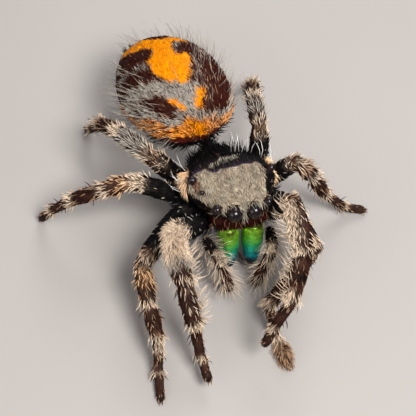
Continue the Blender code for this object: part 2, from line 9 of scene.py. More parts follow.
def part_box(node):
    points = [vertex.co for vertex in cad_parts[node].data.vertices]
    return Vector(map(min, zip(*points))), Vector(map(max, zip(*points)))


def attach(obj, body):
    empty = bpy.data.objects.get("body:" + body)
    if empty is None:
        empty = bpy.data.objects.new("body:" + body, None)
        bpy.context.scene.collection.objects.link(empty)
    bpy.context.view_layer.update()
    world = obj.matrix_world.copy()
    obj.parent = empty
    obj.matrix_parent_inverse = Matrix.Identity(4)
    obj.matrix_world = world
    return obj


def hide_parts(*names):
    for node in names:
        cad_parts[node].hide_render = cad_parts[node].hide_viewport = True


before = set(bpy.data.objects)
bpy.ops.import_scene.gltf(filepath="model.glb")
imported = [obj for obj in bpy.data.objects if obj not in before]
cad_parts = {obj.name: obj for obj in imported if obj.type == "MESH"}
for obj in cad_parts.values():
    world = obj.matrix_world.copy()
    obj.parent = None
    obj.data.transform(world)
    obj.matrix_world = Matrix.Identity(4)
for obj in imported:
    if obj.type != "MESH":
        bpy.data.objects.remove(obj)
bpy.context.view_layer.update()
print("Frame loaded")

# The spider is drawn in millimetres, and each finished mesh is brought to metres.
mm = 0.001
sides = (("left", 1), ("right", -1))  # each side with its sign along X
rng = np.random.default_rng(11)


# Small helpers

def deselectAll():
    for thing in bpy.context.selected_objects:
        thing.select_set(False)


def makeActive(thing):
    deselectAll()
    thing.select_set(True)
    bpy.context.view_layer.objects.active = thing


def applyModifiers(thing):
    makeActive(thing)
    for modifier in list(thing.modifiers):
        bpy.ops.object.modifier_apply(modifier=modifier.name)


def joinThings(things, name):
    makeActive(things[0])
    for thing in things:
        thing.select_set(True)
    bpy.ops.object.join()
    things[0].name = name
    return things[0]


def readVerts(mesh):
    flat = np.empty(len(mesh.vertices) * 3)
    mesh.vertices.foreach_get("co", flat)
    return flat.reshape(-1, 3)


def writeVerts(mesh, points):
    mesh.vertices.foreach_set("co", np.ascontiguousarray(points, dtype=np.float32).ravel())
    mesh.update()


def moved(points, matrix):
    return points @ np.array(matrix.to_3x3()).T + np.array(matrix.translation)


def turned(vectors, matrix):
    return vectors @ np.array(matrix.to_3x3()).T


def unit(vectors):
    return vectors / np.maximum(np.linalg.norm(vectors, axis=-1, keepdims=True), 1e-9)


def ramp(low, high, at):
    share = np.clip((at - low) / (high - low), 0, 1)
    return share * share * (3 - 2 * share)


def within(low, high, soft, at):
    return ramp(low - soft, low + soft, at) * (1 - ramp(high - soft, high + soft, at))


def readStations(stations, at):
    places = np.array([place for place, _ in stations], dtype=float)
    values = np.array([value for _, value in stations], dtype=float)
    at = np.clip(at, places[0], places[-1])
    step = np.clip(np.searchsorted(places, at) - 1, 0, len(places) - 2)
    share = (at - places[step]) / (places[step + 1] - places[step])
    share = share * share * (3 - 2 * share)
    return values[step] + (values[step + 1] - values[step]) * share


def waves(points, size, seed):  # soft noise from -1 to 1 with waves about that size, in mm
    draw = np.random.default_rng(seed)
    total = np.zeros(len(points))
    for number in range(6):
        direction = unit(draw.normal(size=3)) * 2 * math.pi / (size * draw.uniform(0.7, 1.5))
        total += np.sin(points @ direction + draw.uniform(0, 2 * math.pi))
    return total / 3.2  # six waves seldom add up to more than that


# The trunk's own frame: +Y runs to the rear, +X is the spider's left

stance = {
    "pitch": math.radians(10),
    "lean": math.radians(3),
    "frontEyes": Vector((0, -2.42, 0.5)),
    "abdomenFromTrunk": (-1.31, 5.47),
    "abdomenHeight": 3.79,
    "abdomenHeading": math.radians(20),
    "abdomenDroop": math.radians(9),
    "abdomenRoll": math.radians(-8),
    "footHeight": 0.12,
}


def boxMiddle(node):
    low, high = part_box(node)
    return (Vector(low) + Vector(high)) / 2 / mm


trunkTurn = Matrix.Rotation(-stance["pitch"], 4, "X") @ Matrix.Rotation(stance["lean"], 4, "Y")
eyeMiddle = (boxMiddle("left_front_middle_eye") + boxMiddle("right_front_middle_eye")) / 2
trunk = Matrix.Translation(eyeMiddle - trunkTurn @ stance["frontEyes"]) @ trunkTurn
trunkMiddle = trunk.translation
abdomenX, abdomenY = stance["abdomenFromTrunk"]
abdomenMiddle = Vector((trunkMiddle.x + abdomenX, trunkMiddle.y + abdomenY, stance["abdomenHeight"]))
abdomenTurn = (
    Matrix.Rotation(stance["abdomenHeading"], 4, "Z") @ Matrix.Rotation(-stance["abdomenDroop"], 4, "X")
    @ Matrix.Rotation(stance["abdomenRoll"], 4, "Y"))
abdomen = Matrix.Translation(abdomenMiddle) @ abdomenTurn


def trunkPlace(place, sign=1):  # from the trunk's own frame to the world, mirrored by a sign of -1
    return trunk @ Vector((sign * place[0], place[1], place[2]))


def inTrunk(points):  # and back, for many places at once
    return moved(points, trunk.inverted())


# Camera: the photograph's angle, with its middle beside the front eyes

view = {
    "azimuth": math.radians(-24),
    "elevation": math.radians(59),
    "roll": math.radians(9.5),
    "distance": 60.0,
    "pixels": 416,
    "pixelsPerMm": 22,
    "eyesFromMiddle": (36.5, -4.5),  # in pixels, to the right and up
    "sensor": 36.0,
    "clip": (0.002, 10),
}


def addCamera():
    az, el, roll = view["azimuth"], view["elevation"], view["roll"]
    back = Vector((math.sin(az) * math.cos(el), -math.cos(az) * math.cos(el), math.sin(el)))
    level = Vector((math.cos(az), math.sin(az), 0))
    lift = back.cross(level)
    right = level * math.cos(roll) + lift * math.sin(roll)
    upwards = lift * math.cos(roll) - level * math.sin(roll)
    across, up = (offset / view["pixelsPerMm"] for offset in view["eyesFromMiddle"])
    place = eyeMiddle - right * across - upwards * up + back * view["distance"]
    data = bpy.data.cameras.new("photo_camera")
    data.sensor_width = view["sensor"]
    data.lens = view["sensor"] * view["distance"] / (view["pixels"] / view["pixelsPerMm"])
    data.clip_start, data.clip_end = view["clip"]
    camera = bpy.data.objects.new("photo_camera", data)
    bpy.context.scene.collection.objects.link(camera)
    turn = Matrix((right, upwards, back)).transposed().to_4x4()
    camera.matrix_world = Matrix.Translation(place * mm) @ turn
    bpy.context.scene.camera = camera


addCamera()
print("Camera placed")


# Colours of the coat and skin, as linear light

hues = {
    "black": (0.003, 0.0025, 0.003),
    "maroon": (0.040, 0.007, 0.004),
    "red": (0.10, 0.012, 0.006),
    "bark": (0.030, 0.010, 0.006),
    "brown": (0.16, 0.085, 0.05),
    "umber": (0.40, 0.24, 0.14),
    "grey": (0.42, 0.37, 0.31),
    "ash": (0.32, 0.29, 0.22),
    "cream": (0.80, 0.62, 0.45),
    "white": (0.92, 0.88, 0.82),
    "tan": (0.86, 0.50, 0.26),
    "orange": (1.0, 0.32, 0.0),
}


def hue(name):
    return np.array(hues[name])


# Shader groups that several finishes share

def addGroup(name, inputs, outputs):
    group = bpy.data.node_groups.new(name, "ShaderNodeTree")
    for label, default in inputs:
        socket = group.interface.new_socket(label, in_out="INPUT", socket_type="NodeSocketFloat")
        socket.default_value = default
    for label, kind in outputs:
        group.interface.new_socket(label, in_out="OUTPUT", socket_type=kind)
    entry = group.nodes.new("NodeGroupInput")
    leave = group.nodes.new("NodeGroupOutput")
    return group, entry, leave


def makeMottleGroup():  # patches of lighter and darker, from object places
    inputs = [("size", 2500.0), ("low", 0.8), ("high", 1.1)]
    group, entry, leave = addGroup("mottle", inputs, [("shade", "NodeSocketFloat")])
    place = group.nodes.new("ShaderNodeTexCoord")
    noise = group.nodes.new("ShaderNodeTexNoise")
    noise.inputs["Detail"].default_value = 4
    spread = group.nodes.new("ShaderNodeMapRange")
    spread.inputs["From Min"].default_value = 0.3
    spread.inputs["From Max"].default_value = 0.7
    group.links.new(place.outputs["Object"], noise.inputs["Vector"])
    group.links.new(entry.outputs["size"], noise.inputs["Scale"])
    group.links.new(noise.outputs["Fac"], spread.inputs["Value"])
    group.links.new(entry.outputs["low"], spread.inputs["To Min"])
    group.links.new(entry.outputs["high"], spread.inputs["To Max"])
    group.links.new(spread.outputs["Result"], leave.inputs["shade"])
    return group


def makePitsGroup():  # a fine leathery grain as a height
    group, entry, leave = addGroup("pits", [("size", 12000.0)], [("height", "NodeSocketFloat")])
    place = group.nodes.new("ShaderNodeTexCoord")
    cells = group.nodes.new("ShaderNodeTexVoronoi")
    group.links.new(place.outputs["Object"], cells.inputs["Vector"])
    group.links.new(entry.outputs["size"], cells.inputs["Scale"])
    group.links.new(cells.outputs["Distance"], leave.inputs["height"])
    return group


mottle = makeMottleGroup()
pits = makePitsGroup()


def startMaterial(name, sockets):  # the values are for the shader's own sockets
    material = bpy.data.materials.new(name)
    material.use_nodes = True
    shader = material.node_tree.nodes["Principled BSDF"]
    for socket, value in sockets.items():
        shader.inputs[socket].default_value = value
    return material, material.node_tree, shader


def addMottle(tree, size, low, high):
    node = tree.nodes.new("ShaderNodeGroup")
    node.node_tree = mottle
    node.inputs["size"].default_value = size
    node.inputs["low"].default_value = low
    node.inputs["high"].default_value = high
    return node.outputs["shade"]


def addPits(tree, shader, size, strength, distance):
    node = tree.nodes.new("ShaderNodeGroup")
    node.node_tree = pits
    node.inputs["size"].default_value = size
    bump = tree.nodes.new("ShaderNodeBump")
    bump.inputs["Strength"].default_value = strength
    bump.inputs["Distance"].default_value = distance
    tree.links.new(node.outputs["height"], bump.inputs["Height"])
    tree.links.new(bump.outputs["Normal"], shader.inputs["Normal"])


def addColourMix(tree, shader, blend="MIX"):
    mix = tree.nodes.new("ShaderNodeMix")
    mix.data_type = "RGBA"
    mix.blend_type = blend
    tree.links.new(mix.outputs["Result"], shader.inputs["Base Color"])
    return mix


def makeMarkedMaterial(name, finish):  # shows the marking of its piece, times a shade that varies
    material, tree, shader = startMaterial(name, finish["sockets"])
    marking = tree.nodes.new("ShaderNodeAttribute")
    marking.attribute_name = "marking"
    mix = addColourMix(tree, shader, "MULTIPLY")
    mix.inputs["Factor"].default_value = 1.0
    tree.links.new(marking.outputs["Color"], mix.inputs["A"])
    tree.links.new(addMottle(tree, *finish["shade"]), mix.inputs["B"])
    tree.links.new(addMottle(tree, *finish["roughness"]), shader.inputs["Roughness"])
    if "pits" in finish:
        addPits(tree, shader, *finish["pits"])
    return material


def makeTwoToneMaterial(name, finish):  # fades from one colour to another in patches
    material, tree, shader = startMaterial(name, finish["sockets"])
    mix = addColourMix(tree, shader)
    mix.inputs["A"].default_value = (*finish["first"], 1)
    mix.inputs["B"].default_value = (*finish["second"], 1)
    tree.links.new(addMottle(tree, *finish["patches"]), mix.inputs["Factor"])
    return material


# The finishes of skin and hair: size, least and most of each mottle, and size, strength and depth of pits
skinFinish = {
    "sockets": {"Specular IOR Level": 0.08},
    "shade": (3000.0, 0.65, 1.2),
    "roughness": (5000.0, 0.45, 0.75),
    "pits": (14000.0, 0.5, 0.00002),
}
hairFinish = {"sockets": {"Specular IOR Level": 0.07}, "shade": (9000.0, 0.82, 1.12)}
hairRoughness = {
    "soft_hair": (2600.0, 0.42, 0.6),
    "flat_scale_hair": (2600.0, 0.54, 0.72),
    "stiff_bristle": (2600.0, 0.3, 0.48),
}

skinMaterial = makeMarkedMaterial("skin_under_coat", skinFinish)
furMaterial, scaleMaterial, bristleMaterial = (
    makeMarkedMaterial(name, {**hairFinish, "roughness": mottled}) for name, mottled in hairRoughness.items())


# Skin: every soft-bodied form, joined and grown together

parts = []  # name, and for limbs their start and end, of each form under the skin
formPoints, formFaces, formLabels = [], [], []


def keepForm(thing, name, start=None, end=None):
    base = len(formPoints)
    for face in thing.data.polygons:
        formFaces.append([base + corner for corner in face.vertices])
        formLabels.append(len(parts))
    formPoints.extend(readVerts(thing.data).tolist())
    parts.append({"name": name, "start": start, "end": end})
    return thing


def addBlock(name, cuts, roundness):  # a cube from -1 to 1, cut into a grid and drawn towards a ball
    deselectAll()
    bpy.ops.mesh.primitive_cube_add(size=2)
    thing = bpy.context.object
    thing.name = name
    bpy.ops.object.mode_set(mode="EDIT")
    bpy.ops.mesh.select_all(action="SELECT")
    bpy.ops.mesh.subdivide(number_cuts=cuts)
    bpy.ops.object.mode_set(mode="OBJECT")
    points = readVerts(thing.data)
    x, y, z = points.T
    ball = np.stack([
        x * np.sqrt(1 - y * y / 2 - z * z / 2 + y * y * z * z / 3),
        y * np.sqrt(1 - x * x / 2 - z * z / 2 + x * x * z * z / 3),
        z * np.sqrt(1 - x * x / 2 - y * y / 2 + x * x * y * y / 3),
    ], axis=1)
    return thing, points + (ball - points) * roundness


def addBall(radius, middle, segments, rings):
    deselectAll()
    bpy.ops.mesh.primitive_uv_sphere_add(
        segments=segments, ring_count=rings, radius=radius, location=middle)
    bpy.ops.object.transform_apply(location=True, rotation=True, scale=True)
    return bpy.context.object


def addTube(name, points, radii, sides=20):  # a curve's bevel with its own radius at each point
    curve = bpy.data.curves.new(name, "CURVE")
    curve.dimensions = "3D"
    curve.bevel_depth = 1.0
    curve.bevel_resolution = sides // 2 - 2
    curve.use_fill_caps = True
    spline = curve.splines.new("POLY")
    spline.points.add(len(points) - 1)
    for knot, point, radius in zip(spline.points, points, radii):
        knot.co = (*point, 1)
        knot.radius = radius
    drawn = bpy.data.objects.new(name, curve)
    bpy.context.scene.collection.objects.link(drawn)
    makeActive(drawn)
    bpy.ops.object.convert(target="MESH")
    thing = bpy.context.object
    bpy.ops.object.mode_set(mode="EDIT")
    bpy.ops.mesh.select_all(action="SELECT")
    bpy.ops.mesh.remove_doubles(threshold=0.0001)
    bpy.ops.mesh.normals_make_consistent(inside=False)
    bpy.ops.object.mode_set(mode="OBJECT")
    return thing


coreInset = 0.04  # how far the skin lies inside the solids' own cores


def addLimb(name, start, end, radius, profile, bow=0.0, steps=14):
    along = (end - start).normalized()
    lift = (Vector((0, 0, 1)) - along * along.z).normalized()
    shares = np.linspace(profile[0][0], profile[-1][0], steps)
    points = [start.lerp(end, at) + lift * bow * 4 * at * (1 - at) for at in shares]
    radii = [radius * float(readStations(profile, at)) - coreInset for at in shares]
    return keepForm(addTube(name, points, radii), name, start, end)


carapaceSet = {
    "length": 5.2,
    "width": 4.8,
    "height": 1.7,
    "halfWidths": [(-1, 0.7), (-0.75, 0.75), (-0.1, 0.96), (0.2, 0.98), (0.6, 0.72), (1, 0.36)],
    "tops": [(-1, 0.56), (-0.8, 0.6), (-0.1, 0.66), (0.2, 0.62), (0.6, 0.34), (1, -0.08)],
    "undersides": [(-1, -0.18), (-0.7, -0.3), (0, -0.32), (1, -0.32)],
    "roundness": 0.72,
    "leanIn": 0.22,
    "cuts": 26,
}
faceSet = {
    "middle": np.array([0, -1.95, -0.3]),
    "half": np.array([1.4, 0.55, 0.44]),
    "roundness": 0.8,
    "cuts": 12,
}
moundSet = {"sunk": 0.5, "size": 1.06}  # in radii of the lens that the mound carries
shrink = 0.985  # keeps the carapace and the lenses just inside their solids
eyeSet = {  # place in the trunk, diameter and facing of each lens on the spider's left
    "front_middle_eye": ((0.48, -2.42, 0.5), 0.78, (0.08, -1, 0.06)),
    "front_side_eye": ((1.24, -2.12, 0.63), 0.46, (0.5, -1, 0.2)),
    "small_eye": ((1.68, -1.15, 0.84), 0.24, (1, -0.3, 0.6)),
    "rear_side_eye": ((1.93, -0.3, 0.84), 0.42, (1, 0.35, 0.55)),
}
eyes = []  # name, middle, radius and facing of each eye, in world millimetres
for kind, (place, diameter, facing) in eyeSet.items():
    for side, sign in sides:
        eyes.append({
            "name": f"{side}_{kind}",
            "middle": trunkPlace(place, sign),
            "radius": diameter / 2,
            "facing": (trunkTurn @ Vector((sign * facing[0], facing[1], facing[2]))).normalized(),
        })


def addCarapace():
    thing, points = addBlock("carapace", carapaceSet["cuts"], carapaceSet["roundness"])
    across, along, up = points.T
    width = readStations(carapaceSet["halfWidths"], along) * carapaceSet["width"] / 2
    top = readStations(carapaceSet["tops"], along) * carapaceSet["height"]
    under = readStations(carapaceSet["undersides"], along) * carapaceSet["height"]
    share = (up + 1) / 2
    leanIn = 1 - carapaceSet["leanIn"] * share * share
    shaped = np.stack([
        across * width * leanIn, along * carapaceSet["length"] / 2, under + (top - under) * share], axis=1)
    writeVerts(thing.data, moved(shaped * shrink, trunk))
    made = [keepForm(thing, "carapace")]
    for eye in eyes:  # the low mound that carries each lens
        middle = eye["middle"] - eye["facing"] * eye["radius"] * moundSet["sunk"]
        made.append(keepForm(addBall(eye["radius"] * moundSet["size"], middle, 20, 12), "carapace"))
    face, points = addBlock("carapace", faceSet["cuts"], faceSet["roundness"])  # between eyes and chelicerae
    writeVerts(face.data, moved(points * faceSet["half"] + faceSet["middle"], trunk))
    made.append(keepForm(face, "carapace"))
    return made


hips = {1: (1.75, -1.5, -0.95), 2: (2.4, -0.45, -1.0), 3: (2.3, 0.45, -1.0), 4: (2.05, 1.5, -0.95)}
sternumSet = {
    "half": np.array([1.0, 1.6, 0.4]),
    "level": -1.15,
    "root": (0.4, 0.6),  # of a coxa: its place across, and along as a share of the hip's
    "coxa": 0.38,
    "coxaProfile": [(0, 0.7), (0.35, 0.95), (0.8, 1.0), (1, 0.85)],
    "lobe": 0.36,
    "lobeEnds": [(0.4, -0.9, -1.15), (0.75, -1.85, -1.25)],
    "lobeProfile": [(0, 0.8), (0.7, 1.0), (1, 0.7)],
}


def addSternum():
    thing, points = addBlock("sternum", 8, 1.0)
    points = points * sternumSet["half"] + np.array([0, 0, sternumSet["level"]])
    writeVerts(thing.data, moved(points, trunk))
    made = [keepForm(thing, "sternum")]
    across, along = sternumSet["root"]
    for hip in hips.values():
        for _, sign in sides:
            start = trunkPlace((across, hip[1] * along, sternumSet["level"]), sign)
            end = trunkPlace(hip, sign)
            made.append(addLimb("coxa", start, end, sternumSet["coxa"], sternumSet["coxaProfile"]))
    for _, sign in sides:
        start, end = (trunkPlace(place, sign) for place in sternumSet["lobeEnds"])
        made.append(addLimb("sternum", start, end, sternumSet["lobe"], sternumSet["lobeProfile"]))
    return made


abdomenSet = {
    "length": 6.7, "width": 5.0, "height": 4.1, "taper": 0.1, "fullFront": 0.1, "sag": 0.05,
    "meanHalf": 2.4}
foldSet = {"depth": 0.012, "waves": 26}  # soft folds of the underside
spinneretSet = {
    "base": 0.42,
    "baseProfile": [(0, 1), (0.6, 0.95), (1, 0.7)],
    "baseLength": 0.5,
    "cone": 0.2,
    "coneProfile": [(0, 1), (0.6, 0.85), (1, 0.5)],
    "coneLength": 0.55,
    "apart": (0.17, 0.15),
    "spread": (0.05, 0.04),
    "back": 0.3,
    "inset": 0.2,
    "low": 0.14,  # of the abdomen's height
    "heading": Vector((0, 0.85, -0.3)).normalized(),
}


def abdomenTaper(along):
    rear, front = np.maximum(0, along), np.maximum(0, -along)
    return 1 - abdomenSet["taper"] * rear ** 2 + abdomenSet["fullFront"] * front ** 2


def abdomenPoints(ball):  # carries points of a unit ball to the abdomen
    across, along, up = ball.T
    taper = abdomenTaper(along)
    sag = -abdomenSet["sag"] * abdomenSet["height"] * np.maximum(0, along)
    return np.stack([
        across * taper * abdomenSet["width"] / 2,
        along * abdomenSet["length"] / 2,
        up * taper * abdomenSet["height"] / 2 + sag,
    ], axis=1)


def abdomenBall(points):  # and back: where a world point lies on the unit ball
    local = moved(points, abdomen.inverted())
    along = local[:, 1] / (abdomenSet["length"] / 2)
    taper = abdomenTaper(along)
    sag = -abdomenSet["sag"] * abdomenSet["height"] * np.maximum(0, along)
    across = local[:, 0] / (taper * abdomenSet["width"] / 2)
    up = (local[:, 2] - sag) / (taper * abdomenSet["height"] / 2)
    return unit(np.stack([across, along, up], axis=1))


def addAbdomen():
    thing, ball = addBlock("abdomen", 30, 1.0)
    waving = foldSet["depth"] * (1 + np.sin(ball[:, 1] * foldSet["waves"]))
    folds = 1 - waving * ramp(-0.1, -0.5, ball[:, 2])
    points = abdomenPoints(ball) * (1 - coreInset / abdomenSet["meanHalf"]) * folds[:, None]
    writeVerts(thing.data, moved(points, abdomen))
    return [keepForm(thing, "abdomen")]


def addSpinnerets():
    middle = Vector((
        0, abdomenSet["length"] / 2 - spinneretSet["inset"], -abdomenSet["height"] * spinneretSet["low"]))
    heading = spinneretSet["heading"]
    end = middle + heading * spinneretSet["baseLength"]
    ends = [(middle, end, "base")]
    apartX, apartZ = spinneretSet["apart"]
    spreadX, spreadZ = spinneretSet["spread"]
    for across in (-1, 1):
        for up in (-1, 1):
            start = middle + Vector((across * apartX, spinneretSet["back"], up * apartZ))
            spread = Vector((across * spreadX, 0, up * spreadZ))
            ends.append((start, start + heading * spinneretSet["coneLength"] + spread, "cone"))
    made = []
    for start, end, kind in ends:
        radius, profile = spinneretSet[kind], spinneretSet[f"{kind}Profile"]
        made.append(addLimb("spinnerets", abdomen @ start, abdomen @ end, radius, profile))
    return made


pedicelSet = {
    "radius": 0.36,
    "profile": [(0, 1), (0.5, 0.9), (1, 1)],
    "low": 0.4,  # of the carapace's height
    "down": math.radians(46),
    "inset": (0.3, 0.2),
}


def addPedicel():
    start = trunkPlace((0, carapaceSet["length"] / 2, -pedicelSet["low"] * carapaceSet["height"]))
    insetY, insetZ = pedicelSet["inset"]
    end = abdomen @ Vector((
        0,
        -math.cos(pedicelSet["down"]) * abdomenSet["length"] / 2 + insetY,
        -math.sin(pedicelSet["down"]) * abdomenSet["height"] / 2 + insetZ))
    return [addLimb("pedicel", start, end, pedicelSet["radius"], pedicelSet["profile"])]


legSegments = ["femur", "patella", "tibia", "metatarsus", "tarsus"]
legLengths = {
    1: [2.8, 2.2, 2.4, 1.6, 1.1],
    2: [3.4, 1.8, 1.65, 1.6, 1.3],
    3: [2.5, 1.5, 1.9, 1.7, 1.1],
    4: [2.4, 2.0, 2.3, 2.2, 1.1],
}
legThickness = {
    1: [0.56, 0.52, 0.44, 0.3, 0.26],
    2: [0.48, 0.43, 0.38, 0.28, 0.25],
    3: [0.46, 0.41, 0.36, 0.28, 0.25],
    4: [0.48, 0.43, 0.38, 0.28, 0.25],
}
legProfiles = {
    "femur": ([(0, 0.6), (0.12, 0.85), (0.4, 1.0), (0.75, 0.98), (0.92, 0.84), (1, 0.7)], 0.1),
    "patella": ([(0, 0.72), (0.15, 0.92), (0.5, 1.0), (0.85, 0.92), (1, 0.74)], 0.05),
    "tibia": ([(0, 0.76), (0.15, 0.94), (0.5, 1.0), (0.85, 0.88), (1, 0.7)], 0.0),
    "metatarsus": ([(0, 0.8), (0.2, 1.0), (0.75, 0.9), (1, 0.86)], 0.0),
    "tarsus": ([(0, 0.94), (0.25, 1.0), (0.8, 1.0), (1, 0.7)], 0.0),
}
# Headings of femur, patella, tibia and foot from +X, and climbs of the five segments, in degrees.
legPoses = {
    "right_leg_1": ([215, 271, 285, 274], [38, -11, -60, -41, -13]),
    "right_leg_2": ([224, 268, 271, 260], [-2, -22, -15, -42, None]),
    "right_leg_3": ([169, 182, 161, 151], [32, -2, -40, -56, None]),
    "right_leg_4": ([170, 128, 103, 97], [56, 7, -42, -63, None]),
    "left_leg_1": ([289, 269, 240, 213], [64, -22, -13, -53, -62]),
    "left_leg_2": ([284, 214, 214, 275], [4, -24, -24, -35, None]),
    "left_leg_3": ([-34, -15, -10, -14], [65, -51, -63, -45, None]),
    "left_leg_4": ([88, 80, 70, 69], [74, -10, -38, -60, None]),
}


def legJoints(name):
    pair = int(name[-1])
    headings, climbs = legPoses[name]
    joints = [trunkPlace(hips[pair], 1 if name.startswith("left") else -1)]
    for number, length in enumerate(legLengths[pair]):
        heading = math.radians(headings[min(number, 3)])
        if climbs[number] is None:  # the foot comes down to the floor
            climb = math.asin((stance["footHeight"] - joints[-1].z) / length)
        else:
            climb = math.radians(climbs[number])
        level = math.cos(climb)
        step = Vector((math.cos(heading) * level, math.sin(heading) * level, math.sin(climb)))
        joints.append(joints[-1] + step * length)
    return joints


jointBall = 0.74  # of the thinner segment's radius


def addLeg(name):
    joints = legJoints(name)
    thickness = legThickness[int(name[-1])]
    made = []
    for number, segment in enumerate(legSegments):
        profile, bow = legProfiles[segment]
        start, end = joints[number], joints[number + 1]
        made.append(addLimb(f"{name}_{segment}", start, end, thickness[number], profile, bow))
        if number > 0:  # the joint's soft ball between two segments
            made.append(addBall(min(thickness[number - 1], thickness[number]) * jointBall, start, 16, 10))
    return made


palpSet = {
    "joints": [(1.6, -2.0, -1.5), (1.34, -3.25, -1.38), (0.62, -3.62, -3.6)],
    "radius": 0.3,
    "femur": [(0, 0.75), (0.3, 0.95), (0.8, 1.0), (1, 0.9)],
    "foot": [(0, 0.85), (0.15, 1.0), (0.35, 0.85), (0.5, 1.0), (0.85, 1.0), (0.97, 0.7), (1, 0.45)],
}


def addPalps():
    made = []
    for side, sign in sides:
        base, knee, tip = (trunkPlace(place, sign) for place in palpSet["joints"])
        made.append(addLimb(f"{side}_palp_femur", base, knee, palpSet["radius"], palpSet["femur"]))
        made.append(addLimb(f"{side}_palp_foot", knee, tip, palpSet["radius"], palpSet["foot"], steps=24))
    return made


skinSet = {"voxel": 0.07, "relax": 0.5, "relaxSteps": 4, "lowest": 0.02}


def growSkin():
    made = addCarapace() + addSternum() + addAbdomen() + addSpinnerets() + addPedicel() + addPalps()
    for name in legPoses:
        made += addLeg(name)
    skin = joinThings(made, "body_skin")
    remesh = skin.modifiers.new("grow_together", "REMESH")
    remesh.mode = "VOXEL"
    remesh.voxel_size = skinSet["voxel"]
    relax = skin.modifiers.new("relax", "SMOOTH")
    relax.factor = skinSet["relax"]
    relax.iterations = skinSet["relaxSteps"]
    applyModifiers(skin)
    points = readVerts(skin.data)
    points[:, 2] = np.maximum(points[:, 2], skinSet["lowest"])  # small flats under the feet
    writeVerts(skin.data, points)
    return skin


skin = growSkin()
formTree = BVHTree.FromPolygons(formPoints, formFaces)
print("Skin grown:", len(skin.data.polygons), "faces")


# Markings: what grows at each place of the body

def labelPoints(points):  # which form each place belongs to
    nearest = [formTree.find_nearest(point)[2] for point in points.tolist()]
    return np.array(formLabels)[nearest]


def newCoat(count, **values):  # one entry for each place: colours, pale share, length and so on
    coat = {
        "dark": np.tile(hue("black"), (count, 1)),
        "pale": np.tile(hue("grey"), (count, 1)),
        "share": np.zeros(count),
        "length": np.full(count, 0.3),
        "rise": np.full(count, math.radians(20)),
        "density": np.full(count, 150.0),
        "width": np.full(count, 0.030),
        "bold": np.ones(count),  # how much thicker its pale hairs are than its dark ones
        "reach": np.ones(count),  # how much longer
        "lift": np.ones(count),  # and how much steeper
        "lie": np.zeros((count, 3)),
        "place": np.zeros((count, 2)),
    }
    for name, value in values.items():
        coat[name][:] = hue(value) if isinstance(value, str) else value
    return coat


def paint(coat, mask, **values):  # blends values in where the mask is 1
    for name, value in values.items():
        value = hue(value) if isinstance(value, str) else np.asarray(value)
        coat[name] += (value - coat[name]) * (mask[:, None] if coat[name].ndim == 2 else mask)


# Across and along the unit ball, seen from above: the outlines of the pale and orange marks.
orangeOutline = [
    (-0.24, 0.17), (-0.31, 0.02), (-0.29, -0.16), (-0.2, -0.33), (-0.06, -0.46), (0.1, -0.48), (0.27, -0.37),
    (0.44, -0.2), (0.5, -0.07), (0.26, 0.04), (0.48, 0.31), (0.65, 0.26), (0.7, 0.14), (0.83, 0.3),
    (0.77, 0.43), (0.62, 0.52), (0.44, 0.48), (0.3, 0.56), (0.15, 0.78), (-0.02, 0.89), (-0.25, 0.92),
    (-0.5, 0.84), (-0.44, 0.75), (-0.24, 0.59), (-0.04, 0.45), (0.02, 0.3), (-0.07, 0.23)]
greyOutline = [
    (-0.97, 0.14), (-0.81, 0.08), (-0.62, -0.02), (-0.42, -0.16), (-0.17, -0.37), (0.05, -0.5), (0.23, -0.56),
    (0.2, -0.68), (0.0, -0.78), (-0.08, -0.88), (-0.24, -0.86), (-0.32, -0.74), (-0.38, -0.57),
    (-0.51, -0.38), (-0.7, -0.24), (-0.84, -0.17), (-0.94, -0.1)]
paleLine = [(-0.85, 0.4), (-0.64, 0.31), (-0.44, 0.2), (-0.27, 0.08)]
smallSpots = [((-0.37, -0.57), (-0.28, -0.73), 0.05), ((0.15, -0.69), (-0.02, -0.82), 0.07)]
bandLow = [(-1, -0.16), (-0.9, 0.0), (-0.4, 0.01), (0, -0.08), (0.45, -0.27), (1, -0.45)]
bandHigh = [(-1, 0.12), (-0.8, 0.38), (-0.54, 0.32), (-0.28, 0.43), (-0.06, 0.28), (0.5, -0.06), (1, -0.16)]


# Where the front band is orange instead of tan: middle across, half width and how much
bandBright = [(-0.2, 0.17, 1.0), (-0.55, 0.2, 0.75)]


def insideOutline(x, y, outline, soft):  # 1 inside a closed outline, fading over the soft distance
    inside = np.zeros(len(x), dtype=bool)
    nearest = np.full(len(x), np.inf)
    for (ax, ay), (bx, by) in zip(outline, outline[1:] + outline[:1]):
        crosses = (ay > y) != (by > y)
        inside ^= crosses & (x < ax + (y - ay) * (bx - ax) / (by - ay + 1e-9))
        nearest = np.minimum(nearest, fromSegment(np.stack([x, y], axis=1), (ax, ay), (bx, by))[1])
    return ramp(-soft, soft, np.where(inside, nearest, -nearest))


def fromSegment(points, start, end):  # share along a segment, and the distance from it
    start, end = np.array(start), np.array(end)
    share = np.clip((points - start) @ (end - start) / ((end - start) @ (end - start)), 0, 1)
    return share, np.linalg.norm(points - start - share[:, None] * (end - start), axis=1)


def onBall(across, along):
    return across, along, math.sqrt(max(0, 1 - across * across - along * along))


def disc(out, around):  # places on a round unwrap, from how far out and which way they lie
    return np.stack([0.5 + out * np.cos(around), 0.5 + out * np.sin(around)], axis=1)


def fromPole(up):  # how far from the top of a ball, up to almost the edge of a unit square
    return np.arccos(np.clip(up, -1, 1)) / math.pi * 0.485


